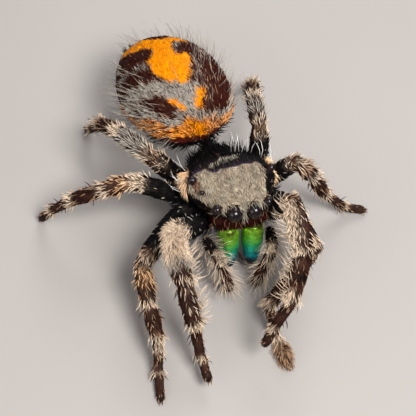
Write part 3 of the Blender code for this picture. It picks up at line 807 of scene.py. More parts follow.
def coatAbdomen(points):
    ball = abdomenBall(points)
    across, along, up = ball.T
    side = np.abs(across)
    top = ramp(0.0, 0.1, up)
    grain = 0.025 * waves(points, 0.3, 3)
    coat = newCoat(
        len(points), dark="maroon", pale="umber", length=0.34, rise=math.radians(16), density=220, share=0.05,
        width=0.032)
    paint(coat, ramp(0.35, 0.8, side), pale="umber", share=0.05)
    paint(coat, ramp(0.0, -0.4, up), pale="grey", share=0.16, dark="black")

    x, y = across + grain, along + 0.5 * grain
    grey = insideOutline(x, y, greyOutline, 0.03) * top
    paint(coat, grey, pale="grey", dark="bark", share=0.8, bold=1.2, length=0.3)
    mirrored = insideOutline(-x, y, greyOutline, 0.05) * top * ramp(0.1, 0.3, across)
    paint(coat, mirrored * 0.6, pale="grey", share=0.4)
    for start, end in zip(paleLine, paleLine[1:]):
        for _, sign in sides:
            line = fromSegment(np.stack([x * sign, y], axis=1), start, end)[1]
            paint(coat, ramp(0.06, 0.02, line) * top, pale="grey", share=0.55)
    rearLines = np.abs(along - 0.5 - 0.4 * (side - 0.5))
    paint(coat, ramp(0.06, 0.02, rearLines) * ramp(0.6, 0.7, side) * top, pale="grey", share=0.4)

    low, high = readStations(bandLow, across), readStations(bandHigh, across)
    front = ramp(0.2, 0.05, along)
    edge = 0.05 * waves(points, 0.25, 6)
    fringe = ramp(high - 0.05, high, up + edge) * (1 - ramp(high + 0.1, high + 0.2, up + edge)) * front
    paint(coat, fringe, pale="grey", share=0.75, bold=1.3, length=0.4, rise=math.radians(40))
    for start, end, half in smallSpots:
        away = fromSegment(ball, onBall(*start), onBall(*end))[1] + grain
        paint(coat, ramp(half + 0.02, half - 0.02, away), pale="orange", dark="orange", share=1.0, bold=1.3)
    band = ramp(low - 0.03, low + 0.03, up) * ramp(high + 0.04, high - 0.04, up + edge) * front
    bright = sum(most * np.exp(-((across - middle) / half) ** 2) for middle, half, most in bandBright)
    bright = np.clip(bright, 0, 1)[:, None]
    bandHue = hue("tan") * np.array([0.95, 0.75, 0.5]) * (1 - bright) + hue("orange") * bright
    patchy = np.clip(0.72 + 0.3 * waves(points, 0.5, 4), 0, 1)
    paint(coat, band, pale=bandHue, dark="red", share=patchy, rise=math.radians(42), length=0.42, bold=1.5)
    under = ramp(low - 0.35, low - 0.1, up) * ramp(low + 0.02, low - 0.02, up)
    paint(coat, under * front, dark="red", share=0.04)
    # Below the band the front face turns from maroon to black: its own dark hair, deepened with painted shade
    paint(coat, ramp(low - 0.15, low - 0.4, up) * front, dark="black", share=0.03)

    orange = insideOutline(across + 0.4 * grain, along, orangeOutline, 0.015)
    paint(coat, orange * top, pale="orange", dark="orange", share=1.0, bold=1.2, length=0.28, density=300,
          rise=math.radians(11))

    lift = ramp(-0.75, -0.98, along)  # at the front pole the coat turns up instead of apart
    lie = np.stack([across * 0.2, 1 - lift, -0.12 + 1.1 * lift], axis=1)
    coat["lie"] = turned(lie, abdomenTurn)
    coat["place"] = disc(fromPole(up), np.arctan2(along, across))
    return coat


# Across and along the trunk: the outline of the head's pale patch, which the photo shows off centre.
patchOutline = [
    (-2.1, -0.3), (-1.85, -0.02), (-1.42, 0.14), (-1.1, -0.02), (-0.82, -0.2), (-0.4, -0.18), (0.45, -0.06),
    (1.35, 0.06), (1.55, -0.15), (1.42, -0.9), (1.36, -1.6), (1.2, -2.05), (0.85, -2.3), (0.45, -2.4),
    (0.16, -2.5), (0.1, -2.75), (-0.1, -2.75), (-0.16, -2.5), (-0.45, -2.45), (-0.9, -2.42), (-1.4, -2.25),
    (-1.8, -1.8), (-2.1, -1.1)]
stripeSet = {  # the comet behind each eye: its line in the trunk on the left, and half widths along it
    "low": (2.44, -0.12, 0.1),
    "high": (2.05, 0.5, 0.82),
    "end": (1.3, 0.97, 0.87),
    "lowHalf": 0.36,
    "highHalf": 0.22,
    "tailHalf": 0.1,
}
# The purple-blue of a painted sheen along the head patch's rear edge
paintedSheenViolet = (0.05, 0.03, 0.10)


def fromStripe(x, y, z):  # share along the comet's head, and the distances from its head and tail
    mirrored = np.stack([np.abs(x), y, z], axis=1)
    share, away = fromSegment(mirrored, stripeSet["low"], stripeSet["high"])
    return share, away, fromSegment(mirrored, stripeSet["high"], stripeSet["end"])[1]


def coatCarapace(points):
    x, y, z = inTrunk(points).T
    count = len(points)
    coat = newCoat(count, length=0.3, rise=math.radians(18), density=130, share=0.02, pale="brown")
    lie = np.tile([0.0, 1.0, -0.15], (count, 1))

    ragged = 0.06 * waves(points, 0.3, 8) + 0.03 * waves(points, 0.12, 9)
    patch = insideOutline(x + ragged, y + ragged, patchOutline, 0.04) * ramp(0.3, 0.5, z + ragged)
    clumps = waves(points, 0.28, 5)
    tone = (1.08 + 0.15 * waves(points, 0.9, 15) + 0.24 * clumps)[:, None]
    warm = np.clip(0.5 + 0.5 * waves(points, 0.55, 16), 0, 1)[:, None]
    plain = hue("ash") * 0.85 + hue("cream") * 0.1
    patchHue = (plain + (hue("umber") * 0.24 - hue("ash") * 0.1) * warm) * tone
    paint(coat, patch, pale=patchHue, dark="brown", share=0.84 + 0.16 * clumps, length=0.26, density=380,
          width=0.027, bold=1.3, reach=1.15, rise=math.radians(24))
    edge = insideOutline(x, y - 0.1, patchOutline, 0.04) * (1 - patch)
    edge = edge * ramp(-0.6, -0.3, y) * ramp(0.5, 0.7, z)
    paint(coat, edge, pale=paintedSheenViolet, share=0.4)  # a painted sheen along the patch's rear edge, purple-blue
    spot = np.hypot((x + 1.72) / 0.14, (y + 0.6) / 0.2)  # the small brown spot in the patch
    paint(coat, ramp(1.3, 0.7, spot) * patch, pale="umber", dark="bark", share=0.4)
    forward = np.stack([-0.3 * np.sin(2.2 * x), -np.ones(count), np.zeros(count)], axis=1)
    lie += (forward - lie) * (patch > 0.4)[:, None]

    second = np.abs(y - 0.42 - 0.26 * x) + ragged  # the short pale band behind the patch
    line = ramp(0.17, 0.1, second) * within(-0.95, 0.6, 0.06, x + ragged) * ramp(0.6, 0.75, z)
    paint(coat, line, pale=hue("ash") * 1.2, share=0.55 + 0.3 * clumps, length=0.2, density=330, bold=1.2)

    share, headAway, tailAway = fromStripe(x, y, z)
    half = stripeSet["lowHalf"] + (stripeSet["highHalf"] - stripeSet["lowHalf"]) * share
    stripe = ramp(0.05, -0.02, headAway - half)
    stripe = np.maximum(stripe, ramp(0.03, -0.02, tailAway - stripeSet["tailHalf"]))
    stripeHue = hue("tan") * 0.72 + hue("cream") * 0.35
    paint(coat, stripe, pale=stripeHue * (1 + 0.12 * clumps)[:, None], dark="tan", share=0.97, length=0.5,
          density=430, bold=1.3, rise=math.radians(34))
    sideways = np.stack([np.sign(x) * 0.7, 0.3 - 1.1 * ramp(0.4, -0.4, y), -0.5 * np.ones(count)], axis=1)
    lie += (sideways - lie) * (stripe > 0.5)[:, None]

    face = ramp(-1.3, -1.9, y) * ramp(0.35, 0.15, z)
    paint(coat, face, dark=hue("red") * 0.1, pale=hue("red") * 0.9, share=0.25, length=0.24, density=400,
          width=0.022, rise=math.radians(20))
    lie += (np.array([0.0, -0.3, -1.0]) - lie) * (face > 0.5)[:, None]
    for eye in eyes:  # short hair that stands round each lens
        outwards = points - np.array(eye["middle"])
        away = np.linalg.norm(outwards, axis=1) / eye["radius"]
        rim = ramp(1.3, 1.15, away)
        paint(coat, rim, pale="red", dark="black", share=0.2, length=0.09, density=430, width=0.02, bold=1.0,
              rise=math.radians(35))
        standing = turned(unit(outwards), trunkTurn.inverted())
        lie += (standing - lie) * (rim > 0.5)[:, None] * 0.8 * (patch < 0.4)[:, None]
    coat["lie"] = turned(lie, trunkTurn)
    out = np.clip(np.hypot(x / 2.45, y / 2.7), 0, 1) * 0.3 + fromPole((z + 0.3) / 1.6) * 0.35
    coat["place"] = disc(out, np.arctan2(y, x))
    return coat


# Each segment's stations: share of its length, share of pale hairs, and their hue. A leg with its own
# stations has them under its full name.
legCoats = {
    "femur": [
        (0, 0.02, "grey"), (0.75, 0.05, "grey"), (0.86, 0.5, "cream"), (0.95, 1.0, "cream"),
        (1, 0.6, "umber")],
    "patella": [(0, 0.7, "cream"), (0.35, 0.5, "umber"), (0.7, 0.35, "grey"), (1, 0.8, "cream")],
    "tibia": [
        (0, 0.5, "cream"), (0.15, 0.12, "umber"), (0.74, 0.08, "umber"), (0.86, 1.2, "cream"),
        (1, 0.9, "cream")],
    "metatarsus": [
        (0, 0.5, "cream"), (0.15, 0.2, "umber"), (0.3, 0.05, "umber"), (0.8, 0.05, "umber"),
        (0.92, 1.2, "cream"), (1, 1.0, "cream")],
    "tarsus": [(0, 1.1, "cream"), (0.14, 0.4, "umber"), (0.3, 0.1, "umber"), (1, 0.08, "umber")],
    "palp_femur": [(0, 0.02, "umber"), (0.75, 0.05, "umber"), (0.88, 1.2, "cream"), (1, 1.6, "cream")],
    "palp_foot": [(0, 1.8, "cream"), (0.14, 0.9, "cream"), (0.22, 0.1, "umber"), (1, 0.1, "umber")],
    "right_leg_1_femur": [
        (0, 0.02, "grey"), (0.6, 0.05, "grey"), (0.75, 0.4, "cream"), (0.9, 1.0, "cream"), (1, 1.3, "cream")],
    "right_leg_1_patella": [(0, 1.4, "cream"), (0.4, 1.3, "cream"), (0.6, 0.55, "grey"), (1, 0.12, "umber")],
    "right_leg_1_tibia": [
        (0, 0.3, "cream"), (0.2, 0.15, "grey"), (0.5, 0.15, "cream"), (0.75, 0.08, "umber"),
        (0.88, 1.2, "cream"), (1, 1.1, "cream")],
    "right_leg_2_femur": [
        (0, 0.02, "grey"), (0.66, 0.05, "grey"), (0.8, 0.5, "umber"), (0.93, 0.7, "cream"),
        (1, 0.3, "umber")],
    "right_leg_2_patella": [
        (0, 0.8, "cream"), (0.12, 0.8, "tan"), (0.5, 0.5, "tan"), (0.75, 0.15, "umber"), (1, 0.9, "cream")],
    "right_leg_2_tibia": [
        (0, 0.8, "cream"), (0.15, 0.2, "umber"), (0.75, 0.1, "umber"), (0.9, 1.0, "umber"),
        (1, 0.9, "cream")],
    "right_leg_2_metatarsus": [
        (0, 1.4, "cream"), (0.35, 1.0, "cream"), (0.5, 0.3, "umber"), (0.85, 0.2, "umber"),
        (1, 1.2, "cream")],
    "left_leg_1_patella": [(0, 1.3, "cream"), (0.6, 1.3, "cream"), (0.85, 0.5, "cream"), (1, 0.8, "cream")],
    "left_leg_1_tibia": [
        (0, 0.5, "cream"), (0.2, 0.15, "cream"), (0.74, 0.08, "umber"), (0.84, 1.5, "cream"),
        (1, 1.3, "cream")],
    "left_leg_2_tarsus": [(0, 0.8, "cream"), (0.3, 0.7, "umber"), (1, 0.7, "umber")],
    "right_leg_3_femur": [(0, 0.02, "grey"), (0.72, 0.05, "cream"), (0.85, 1.0, "cream"), (1, 1.3, "cream")],
    "right_leg_3_patella": [(0, 1.2, "cream"), (0.4, 0.6, "tan"), (0.7, 0.3, "umber"), (1, 0.6, "cream")],
    "right_leg_4_femur": [(0, 0.02, "grey"), (0.6, 0.1, "umber"), (0.8, 0.6, "cream"), (1, 0.6, "umber")],
    "right_leg_4_patella": [(0, 0.6, "cream"), (0.3, 1.1, "grey"), (0.8, 1.0, "grey"), (1, 1.0, "cream")],
    "left_leg_4_patella": [(0, 0.5, "cream"), (0.3, 0.6, "grey"), (0.8, 0.6, "grey"), (1, 0.8, "cream")],
}


def limbPlaces(points, part):  # share of length, turn round the limb from its top, and its heading
    start, end = np.array(part["start"]), np.array(part["end"])
    along = unit(end - start)
    lift = unit(np.array([0, 0, 1]) - along * along[2])
    offset = points - start
    at = offset @ along / np.linalg.norm(end - start)
    return at, np.arctan2(offset @ np.cross(along, lift), offset @ lift), along


def blendColours(at, places, colours):
    return np.stack([np.interp(at, places, channel) for channel in zip(*colours)], axis=1)


def coatLimb(points, part, row, rows):
    name = part["name"]
    at, turn, along = limbPlaces(points, part)
    kind = name.split("_", 1)[1] if "palp" in name else name.rsplit("_", 1)[1]
    places, shares, tones = zip(*legCoats.get(name, legCoats[kind]))
    coat = newCoat(len(points), dark="bark", length=0.26, rise=math.radians(20), density=220, bold=1.35,
                   reach=1.5, lift=1.9)
    coat["pale"] = blendColours(at, places, [hues[tone] for tone in tones])
    everywhere = np.ones(len(points))
    if kind == "femur":
        paint(coat, ramp(0.88, 0.7, at), dark="black")
    inner = -1 if name.startswith("right") else 1
    facing = np.cos(turn) + 0.45 * inner * np.sin(turn)  # 1 on top and on the inner side
    if name in ("left_leg_1_patella", "left_leg_1_tibia"):
        facing = 0.1 + 1.5 * np.sin(turn)  # dark all down its outer side
    coat["share"] = 0.4 * np.interp(at, places, shares) * (0.1 + 0.9 * ramp(-0.3, 0.7, facing))
    coat["share"] *= 1 + 0.4 * waves(points, 0.4, 21)
    coat["dark"] *= (1 + 0.5 * waves(points, 0.7, 22))[:, None]
    if kind == "metatarsus":
        paint(coat, everywhere, length=0.18)
    if kind == "tarsus":
        paint(coat, everywhere, length=0.14, density=280)
        paint(coat, ramp(0.75, 0.95, at), dark="black", share=0.1, rise=math.radians(32))
    if name == "left_leg_2_tarsus":  # the wide brushed pad that the photo shows
        paint(coat, everywhere, length=0.42, rise=math.radians(48), share=0.7, reach=1.1, lift=1.1)
    if name in ("right_leg_1_patella", "right_leg_1_femur"):  # the soft pale knee nearest the camera
        knee = ramp(0.7, 0.85, at) if kind == "femur" else ramp(0.8, 0.5, at)
        paint(coat, knee, length=0.42, bold=1.0, reach=1.0, lift=1.3, density=430, width=0.022,
              rise=math.radians(30))
        coat["share"] += (0.93 - coat["share"]) * knee * ramp(-0.9, -0.1, facing)
    if "palp" in name:
        paint(coat, everywhere, length=0.16, bold=1.0, reach=1.3, rise=math.radians(30))
    if kind == "palp_femur":
        paint(coat, ramp(0.85, 0.7, at), dark="black", share=0.02)
    coat["lie"] = np.tile(along, (len(points), 1))
    line, column = divmod(row, 8)  # each limb is a cell of the unwrap, eight to a line
    coat["place"] = np.stack([
        (column + 0.08 + 0.84 * (turn / math.pi + 1) / 2) / 8,
        (line + 0.08 + 0.84 * np.clip(at, 0, 1)) / (rows // 8 + 1)], axis=1)
    return coat


def coatTrunkUnder(points):
    x, y, _ = inTrunk(points).T
    coat = newCoat(len(points), length=0.3, rise=math.radians(25), density=90, share=0.04)
    outwards = np.stack([x, 0.3 * y + 0.2, np.full(len(points), -0.2)], axis=1)
    coat["lie"] = turned(unit(outwards), trunkTurn)
    coat["place"] = np.stack([0.5 + x / 6, 0.5 + y / 8], axis=1)
    return coat


limbNames = [part["name"] for part in parts if "leg_" in part["name"] or "palp_" in part["name"]]


def coatAt(points, labels):  # the whole body's coat, region by region
    coat = newCoat(len(points))
    for number, part in enumerate(parts):
        mask = labels == number
        if not mask.any():
            continue
        if part["name"] == "abdomen":
            grown = coatAbdomen(points[mask])
        elif part["name"] == "carapace":
            grown = coatCarapace(points[mask])
        elif part["name"] in limbNames:
            grown = coatLimb(points[mask], part, limbNames.index(part["name"]), len(limbNames))
        else:
            grown = coatTrunkUnder(points[mask])
        for name in coat:
            coat[name][mask] = grown[name]
    coat["share"] = np.clip(coat["share"], 0, 1)
    return coat


def addMarking(mesh, colours):
    layer = mesh.color_attributes.new("marking", "FLOAT_COLOR", "POINT")
    flat = np.ones((len(colours), 4), dtype=np.float32)
    flat[:, :3] = colours
    layer.data.foreach_set("color", flat.ravel())


def finishPiece(thing, material, slot, *nodes):  # in metres, on the one body
    thing.data.transform(Matrix.Scale(mm, 4))
    thing.data.materials.clear()
    thing.data.materials.append(material)
    thing.data.shade_smooth()
    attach(thing, "root")
    if nodes:
        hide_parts(*nodes)


skinPoints = readVerts(skin.data)
skinLabels = labelPoints(skinPoints)
skinCoat = coatAt(skinPoints, skinLabels)
paleShare = skinCoat["share"][:, None]
skinShade = {"dark": 0.8, "pale": 0.6}  # the skin is darker than the coat over it
addMarking(skin.data, (
    skinCoat["dark"] * (1 - paleShare) * skinShade["dark"]
    + skinCoat["pale"] * paleShare * skinShade["pale"]))
print("Markings painted")


# Roots of the coat, scattered over the skin

def skinTriangles():
    skin.data.calc_loop_triangles()
    corners = np.empty(len(skin.data.loop_triangles) * 3, dtype=np.int64)
    skin.data.loop_triangles.foreach_get("vertices", corners)
    normals = np.empty(len(skin.data.vertices) * 3)
    skin.data.vertices.foreach_get("normal", normals)
    return corners.reshape(-1, 3), normals.reshape(-1, 3)


corners, skinNormals = skinTriangles()
cornerPoints = skinPoints[corners]
areas = np.linalg.norm(np.cross(
    cornerPoints[:, 1] - cornerPoints[:, 0], cornerPoints[:, 2] - cornerPoints[:, 0]), axis=1) / 2
skinArea = areas.sum()


def scatter(perSquare):  # random places on the skin, with their normals and forms
    count = int(skinArea * perSquare)
    chosen = rng.choice(len(areas), size=count, p=areas / skinArea)
    first, second = rng.random((2, count))
    flip = first + second > 1
    first[flip], second[flip] = 1 - first[flip], 1 - second[flip]
    weights = np.stack([1 - first - second, first, second], axis=1)[:, :, None]
    points = (cornerPoints[chosen] * weights).sum(axis=1)
    normals = unit((skinNormals[corners[chosen]] * weights).sum(axis=1))
    return points, normals, skinLabels[corners[chosen, 0]]


def clearOfEyes(points, margin):
    clear = np.ones(len(points), dtype=bool)
    for eye in eyes:
        away = np.linalg.norm(points - np.array(eye["middle"]), axis=1)
        clear &= away > eye["radius"] * margin
    return clear


def takeRoots(coat, points, normals, labels, chosen):
    kept = {name: values[chosen] for name, values in coat.items()}
    kept["root"], kept["out"], kept["label"] = points[chosen], normals[chosen], labels[chosen]
    return kept


shortHairs = {
    "perSquare": 430,  # where the coat is densest
    "clear": 1.03,  # of the lenses, in their radii
    "tint": (0.7, 1.15),
    "length": (0.7, 1.25),
    "width": (0.8, 1.2),
    "rise": (0.6, 1.4),
    "sway": 0.24,
    "paleCurl": 0.45,
    "curl": 0.8,
    "paleLighten": 1.15,
    "lighten": 1.25,
}


def shortCoat():
    style = shortHairs
    points, normals, labels = scatter(style["perSquare"])
    coat = coatAt(points, labels)
    chosen = rng.random(len(points)) * style["perSquare"] < coat["density"]
    chosen &= clearOfEyes(points, style["clear"])
    roots = takeRoots(coat, points, normals, labels, chosen)
    count = len(roots["root"])
    isPale = rng.random(count) < roots["share"]
    tint = rng.uniform(*style["tint"], count)[:, None]
    roots["colour"] = np.where(isPale[:, None], roots["pale"], roots["dark"]) * tint
    for name, more in (("length", "reach"), ("width", "bold")):
        roots[name] = roots[name] * rng.uniform(*style[name], count) * np.where(isPale, roots[more], 1)
    ruffled = 1 + 0.35 * waves(roots["root"], 0.55, 31)
    roots["rise"] = roots["rise"] * rng.uniform(*style["rise"], count) * ruffled
    roots["rise"] *= np.where(isPale, roots["lift"], 1)
    roots["sway"] = rng.normal(0, style["sway"], count) + 0.4 * waves(roots["root"], 0.5, 32)
    roots["curl"] = np.where(isPale & (roots["lift"] > 1.2), style["paleCurl"], style["curl"])
    roots["lighten"] = np.where(isPale, style["paleLighten"], style["lighten"])
    return roots


tuftShape = {
    "steps": [(0.36, 0.0), (0.34, 0.5), (0.3, 1.0)],  # shares of its length, and of its curl so far
    "widths": (0.8, 1.0, 0.7),
    "fade": (0.7, 0.95, 1.05, 1.0),
    "sunk": 0.03,
    "lowest": 0.03,
    "patch": 0.003,  # its size in the OFBake map
}


def tuftFaces():  # three rings of three corners and a tip
    quads = []
    for ring in range(2):
        for corner in range(3):
            near, far = ring * 3 + corner, ring * 3 + (corner + 1) % 3
            quads.append((near, far, far + 3, near + 3))
    tips = [(6 + corner, 6 + (corner + 1) % 3, 9) for corner in range(3)]
    return quads + tips + [(2, 1, 0)]


def addTufts(name, roots, material, slot):
    count = len(roots["root"])
    out = roots["out"]
    lie = roots["lie"] - out * (roots["lie"] * out).sum(axis=1, keepdims=True)
    lie = unit(lie + 1e-6)
    across = np.cross(out, lie)
    sway = roots["sway"][:, None]
    lie = lie * np.cos(sway) + across * np.sin(sway)
    across = np.cross(out, lie)
    length = roots["length"][:, None]
    spine = [roots["root"] - out * tuftShape["sunk"]]
    for step, curled in tuftShape["steps"]:
        angle = (roots["rise"] * (1 - roots["curl"] * curled))[:, None]
        spine.append(spine[-1] + (lie * np.cos(angle) + out * np.sin(angle)) * length * step)
    spine = np.stack(spine, axis=1)
    spine[:, :, 2] = np.maximum(spine[:, :, 2], tuftShape["lowest"])
    rings = []
    for number, share in enumerate(tuftShape["widths"]):
        direction = unit(spine[:, number + 1] - spine[:, number])
        lift = np.cross(direction, across)
        for corner in range(3):
            angle = math.radians(90 + 120 * corner)
            offset = across * math.cos(angle) + lift * math.sin(angle)
            rings.append(spine[:, number] + offset * (roots["width"] * share / 2)[:, None])
    points = np.stack(rings + [spine[:, 3]], axis=1).reshape(-1, 3)

    faces = tuftFaces()
    pattern = np.array([corner for face in faces for corner in face])
    loops = (pattern[None, :] + 10 * np.arange(count)[:, None]).ravel()
    sizes = np.tile([len(face) for face in faces], count)
    starts = np.concatenate([[0], np.cumsum(sizes)[:-1]])
    mesh = bpy.data.meshes.new(name)
    mesh.vertices.add(len(points))
    mesh.vertices.foreach_set("co", points.astype(np.float32).ravel())
    mesh.loops.add(len(loops))
    mesh.loops.foreach_set("vertex_index", loops.astype(np.int32))
    mesh.polygons.add(len(starts))
    mesh.polygons.foreach_set("loop_start", starts.astype(np.int32))
    mesh.update(calc_edges=True)

    lighten = np.concatenate([np.ones((count, 6)), np.tile(roots["lighten"][:, None], (1, 4))], axis=1)
    fade = np.repeat(tuftShape["fade"], (3, 3, 3, 1))[None, :] * lighten
    colours = roots["colour"][:, None, :] * fade[:, :, None]
    addMarking(mesh, np.clip(colours.reshape(-1, 3), 0, 1))
    down = np.array([0, 0, 0, 0.33, 0.33, 0.33, 0.67, 0.67, 0.67, 1.0]) - 0.5
    over = np.array([0, 0.5, 1] * 3 + [0.5]) - 0.5
    place = roots["place"][:, None, :] + np.stack([over, down], axis=1)[None] * tuftShape["patch"]
    place = np.clip(place.reshape(-1, 2), 0.0005, 0.9995)
    layer = mesh.uv_layers.new(name="OFBake")
    layer.data.foreach_set("uv", place[loops].astype(np.float32).ravel())
    thing = bpy.data.objects.new(name, mesh)
    bpy.context.scene.collection.objects.link(thing)
    finishPiece(thing, material, slot)


mostHairs = 12000  # in one piece, which keeps it under 200,000 triangles


def growHairs(name, roots, material, slot):
    count = len(roots["root"])
    pieces = -(-count // mostHairs)
    for number in range(pieces):
        part = {key: values[number::pieces] for key, values in roots.items()}
        addTufts(name if pieces == 1 else f"{name}_{number + 1}", part, material, slot)
    print("Grown:", name, count, "hairs in", pieces, "pieces")


def chooseRoots(roots, mask):
    return {key: values[mask] for key, values in roots.items()}


short = shortCoat()
names = np.array([part["name"] for part in parts])[short["label"]]
onAbdomen = names == "abdomen"
onHead = names == "carapace"
onLimb = np.isin(names, limbNames)
growHairs("abdomen_coat", chooseRoots(short, onAbdomen), scaleMaterial, "dark_hair")
growHairs("head_coat", chooseRoots(short, onHead), scaleMaterial, "grey_hair")
growHairs("limb_coat", chooseRoots(short, onLimb), furMaterial, "leg_hair")
growHairs("under_coat", chooseRoots(short, ~(onAbdomen | onHead | onLimb)), furMaterial, "dark_hair")


# Long hairs: how likely one is at each place

def nameMask(labels, *wanted):
    found = np.array([any(part["name"].endswith(word) for word in wanted) for part in parts])
    return found[labels]


def onHalo(points, labels):  # thick at the rim and sides, with only a few over the back
    across, along, up = abdomenBall(points).T
    rim = np.maximum(ramp(0.45, 0.8, np.abs(across)), ramp(0.55, 0.85, along)) * ramp(-0.6, -0.2, up)
    return nameMask(labels, "abdomen") * (0.05 + 0.95 * rim) * ramp(-0.6, -0.4, up) * ramp(-0.95, -0.8, along)


def onRearHead(points, labels):
    x, y, z = inTrunk(points).T
    return nameMask(labels, "carapace") & (y > 0.75) & (y < 1.35) & (np.abs(x - 0.75) < 0.75) & (z > 0.3)


def onStripe(points, labels):
    x, y, z = inTrunk(points).T
    _, away, tail = fromStripe(x, y, z)
    edge = (away < 0.4) & (away > 0.12) & (z < 0.9 - 0.9 * (0.6 - y)) | (tail < 0.14)
    return nameMask(labels, "carapace") & edge & (y > -0.5)


def onBrow(points, labels):
    x, y, z = inTrunk(points).T
    inside = insideOutline(x, y, patchOutline, 0.02) * (z > 0.3)
    return nameMask(labels, "carapace") * inside * ramp(-1.9, -2.25, y - 0.12 * np.abs(x))


def onLimbs(points, labels, wanted, chance):  # the chance reads share of length, turn and name
    keep = np.zeros(len(points))
    for number, part in enumerate(parts):
        if part["name"].endswith(wanted):
            mask = labels == number
            at, turn, _ = limbPlaces(points[mask], part)
            keep[mask] = chance(at, turn, part["name"])
    return keep


def onFringe(points, labels):  # down the inner side
    def chance(at, turn, name):
        inner = -1 if name.startswith("right") else 1
        return np.cos(turn - inner * math.radians(75)) > 0.5
    return onLimbs(points, labels, ("leg_1_patella", "leg_1_tibia"), chance)


def onJoints(points, labels):  # tufts where two segments meet
    def chance(at, turn, name):
        tuft = within(0.84, 1.0, 0.04, at) * (0.4 + 0.6 * ramp(-0.4, 0.4, np.cos(turn)))
        return tuft * (0.5 if name.endswith("metatarsus") else 1)
    return onLimbs(points, labels, ("patella", "tibia", "metatarsus"), chance)


def onForms(*wanted):  # the same chance all over the forms whose names end so
    return lambda points, labels: nameMask(labels, *wanted)


def onFace(points, labels):
    _, y, z = inTrunk(points).T
    return nameMask(labels, "carapace") & (y < -2.0) & (z < 0.2) & (z > -0.45)


def onDark(points, labels):  # shaggy black hair where trunk, legs and abdomen come together
    waist = nameMask(labels, "carapace") & (inTrunk(points)[:, 1] > 1.2)
    _, along, up = abdomenBall(points).T
    front = nameMask(labels, "abdomen") & (along < -0.4) & (up < -0.15)
    return waist | nameMask(labels, "coxa", "pedicel") | front


# Each kind's place, number per square millimetre, length, rise, width, colour and record slot. A kind
# with a bend curls more, and lies that way in the trunk's frame, or against the coat's own lie.
longHairs = {
    "abdomen_halo": {
        "place": onHalo, "perSquare": 13.0, "length": 1.15, "rise": 50, "width": 0.022, "colour": "grey",
        "slot": "grey_hair"},
    "head_rear_hairs": {
        "place": onRearHead, "perSquare": 6.0, "length": 1.1, "rise": 72, "width": 0.024, "colour": "white",
        "slot": "grey_hair", "bend": (0.35, 0.9, 0.3), "curl": 0.75},
    "head_side_hairs": {
        "place": onStripe, "perSquare": 18.0, "length": 0.95, "rise": 62, "width": 0.024, "colour": "white",
        "slot": "grey_hair", "bend": (-0.6, 0.7, 0.4), "curl": 0.7},
    "brow_hairs": {
        "place": onBrow, "perSquare": 120.0, "length": 0.46, "rise": 14, "width": 0.045, "colour": "ash",
        "slot": "grey_hair", "material": scaleMaterial},
    "front_leg_fringe": {
        "place": onFringe, "perSquare": 30.0, "length": 0.85, "rise": 82, "width": 0.024, "colour": "cream",
        "slot": "leg_hair", "bend": "back", "curl": 0.45},
    "palp_bristles": {
        "place": onForms("palp_foot", "palp_femur"), "perSquare": 44.0, "length": 0.8, "rise": 60,
        "width": 0.023, "colour": "cream", "slot": "leg_hair"},
    "joint_tufts": {
        "place": onJoints, "perSquare": 60.0, "length": 0.5, "rise": 58, "width": 0.036, "colour": "cream",
        "slot": "leg_hair"},
    "leg_bristles": {
        "place": onForms("patella", "tibia", "metatarsus"), "perSquare": 5.0, "length": 0.5, "rise": 52,
        "width": 0.028, "colour": "umber", "slot": "leg_hair"},
    "leg_spines": {
        "place": onForms("tibia", "metatarsus"), "perSquare": 3.0, "length": 0.5, "rise": 45,
        "width": 0.05, "colour": "maroon", "slot": "leg_hair"},
    "face_hairs": {
        "place": onFace, "perSquare": 22.0, "length": 0.42, "rise": 32, "width": 0.02, "colour": "umber",
        "slot": "dark_hair"},
    "waist_hairs": {
        "place": onDark, "perSquare": 45.0, "length": 0.55, "rise": 50, "width": 0.034, "colour": "black",
        "slot": "dark_hair", "material": furMaterial},
}


longVariety = {
    "clear": 1.1,  # of the lenses, in their radii
    "tint": (0.6, 1.1),
    "length": (0.65, 1.25),
    "rise": (0.7, 1.25),
    "sway": 0.3,
    "curl": (0.2, 0.7),
    "width": (0.8, 1.2),
    "lighten": 1.1,
    "bend": 0.15,  # either way of the curl that a bent kind has
}


def longRoots(style):
    vary = longVariety
    points, normals, labels = scatter(style["perSquare"])
    coat = coatAt(points, labels)
    keep = (rng.random(len(points)) < style["place"](points, labels)) & clearOfEyes(points, vary["clear"])
    roots = takeRoots(coat, points, normals, labels, keep)
    count = len(roots["root"])
    tint = rng.uniform(*vary["tint"], count)[:, None]
    roots["colour"] = np.tile(hue(style["colour"]), (count, 1)) * tint
    roots["length"] = style["length"] * rng.uniform(*vary["length"], count)
    roots["rise"] = math.radians(style["rise"]) * rng.uniform(*vary["rise"], count)
    roots["sway"] = rng.normal(0, vary["sway"], count)
    roots["curl"] = rng.uniform(*vary["curl"], count)
    roots["lighten"] = np.full(count, vary["lighten"])
    roots["width"] = style["width"] * rng.uniform(*vary["width"], count)
    if "bend" in style:
        roots["curl"] = rng.uniform(style["curl"] - vary["bend"], style["curl"] + vary["bend"], count)
        if style["bend"] == "back":
            roots["lie"] = -roots["lie"]
        else:
            roots["lie"] = np.tile(np.array(trunkTurn @ Vector(style["bend"])), (count, 1))
    return roots


for name, style in longHairs.items():
    growHairs(name, longRoots(style), style.get("material", bristleMaterial), style["slot"])


# The skin itself stands for every node of flesh

fleshNodes = ["carapace", "sternum", "pedicel", "abdomen", "spinnerets"]
fleshNodes += [f"{side}_palp_{part}" for side, _ in sides for part in ("femur", "foot")]
fleshNodes += [f"{leg}_{part}" for leg in legPoses for part in ("femur", "patella", "tibia", "foot")]
finishPiece(skin, skinMaterial, "dark_hair", *fleshNodes)


# Eyes: a polished dome set in a narrow collar

eyeFinish = {
    "sockets": {"Roughness": 0.07, "Specular IOR Level": 0.35},
    "first": (0.004, 0.003, 0.004),
    "second": (0.022, 0.009, 0.006),
    "patches": (4000.0, 0.0, 0.5),
}
groove = {"height": 0.12, "width": 0.07, "depth": 0.10}  # where the dome leaves its collar, in radii


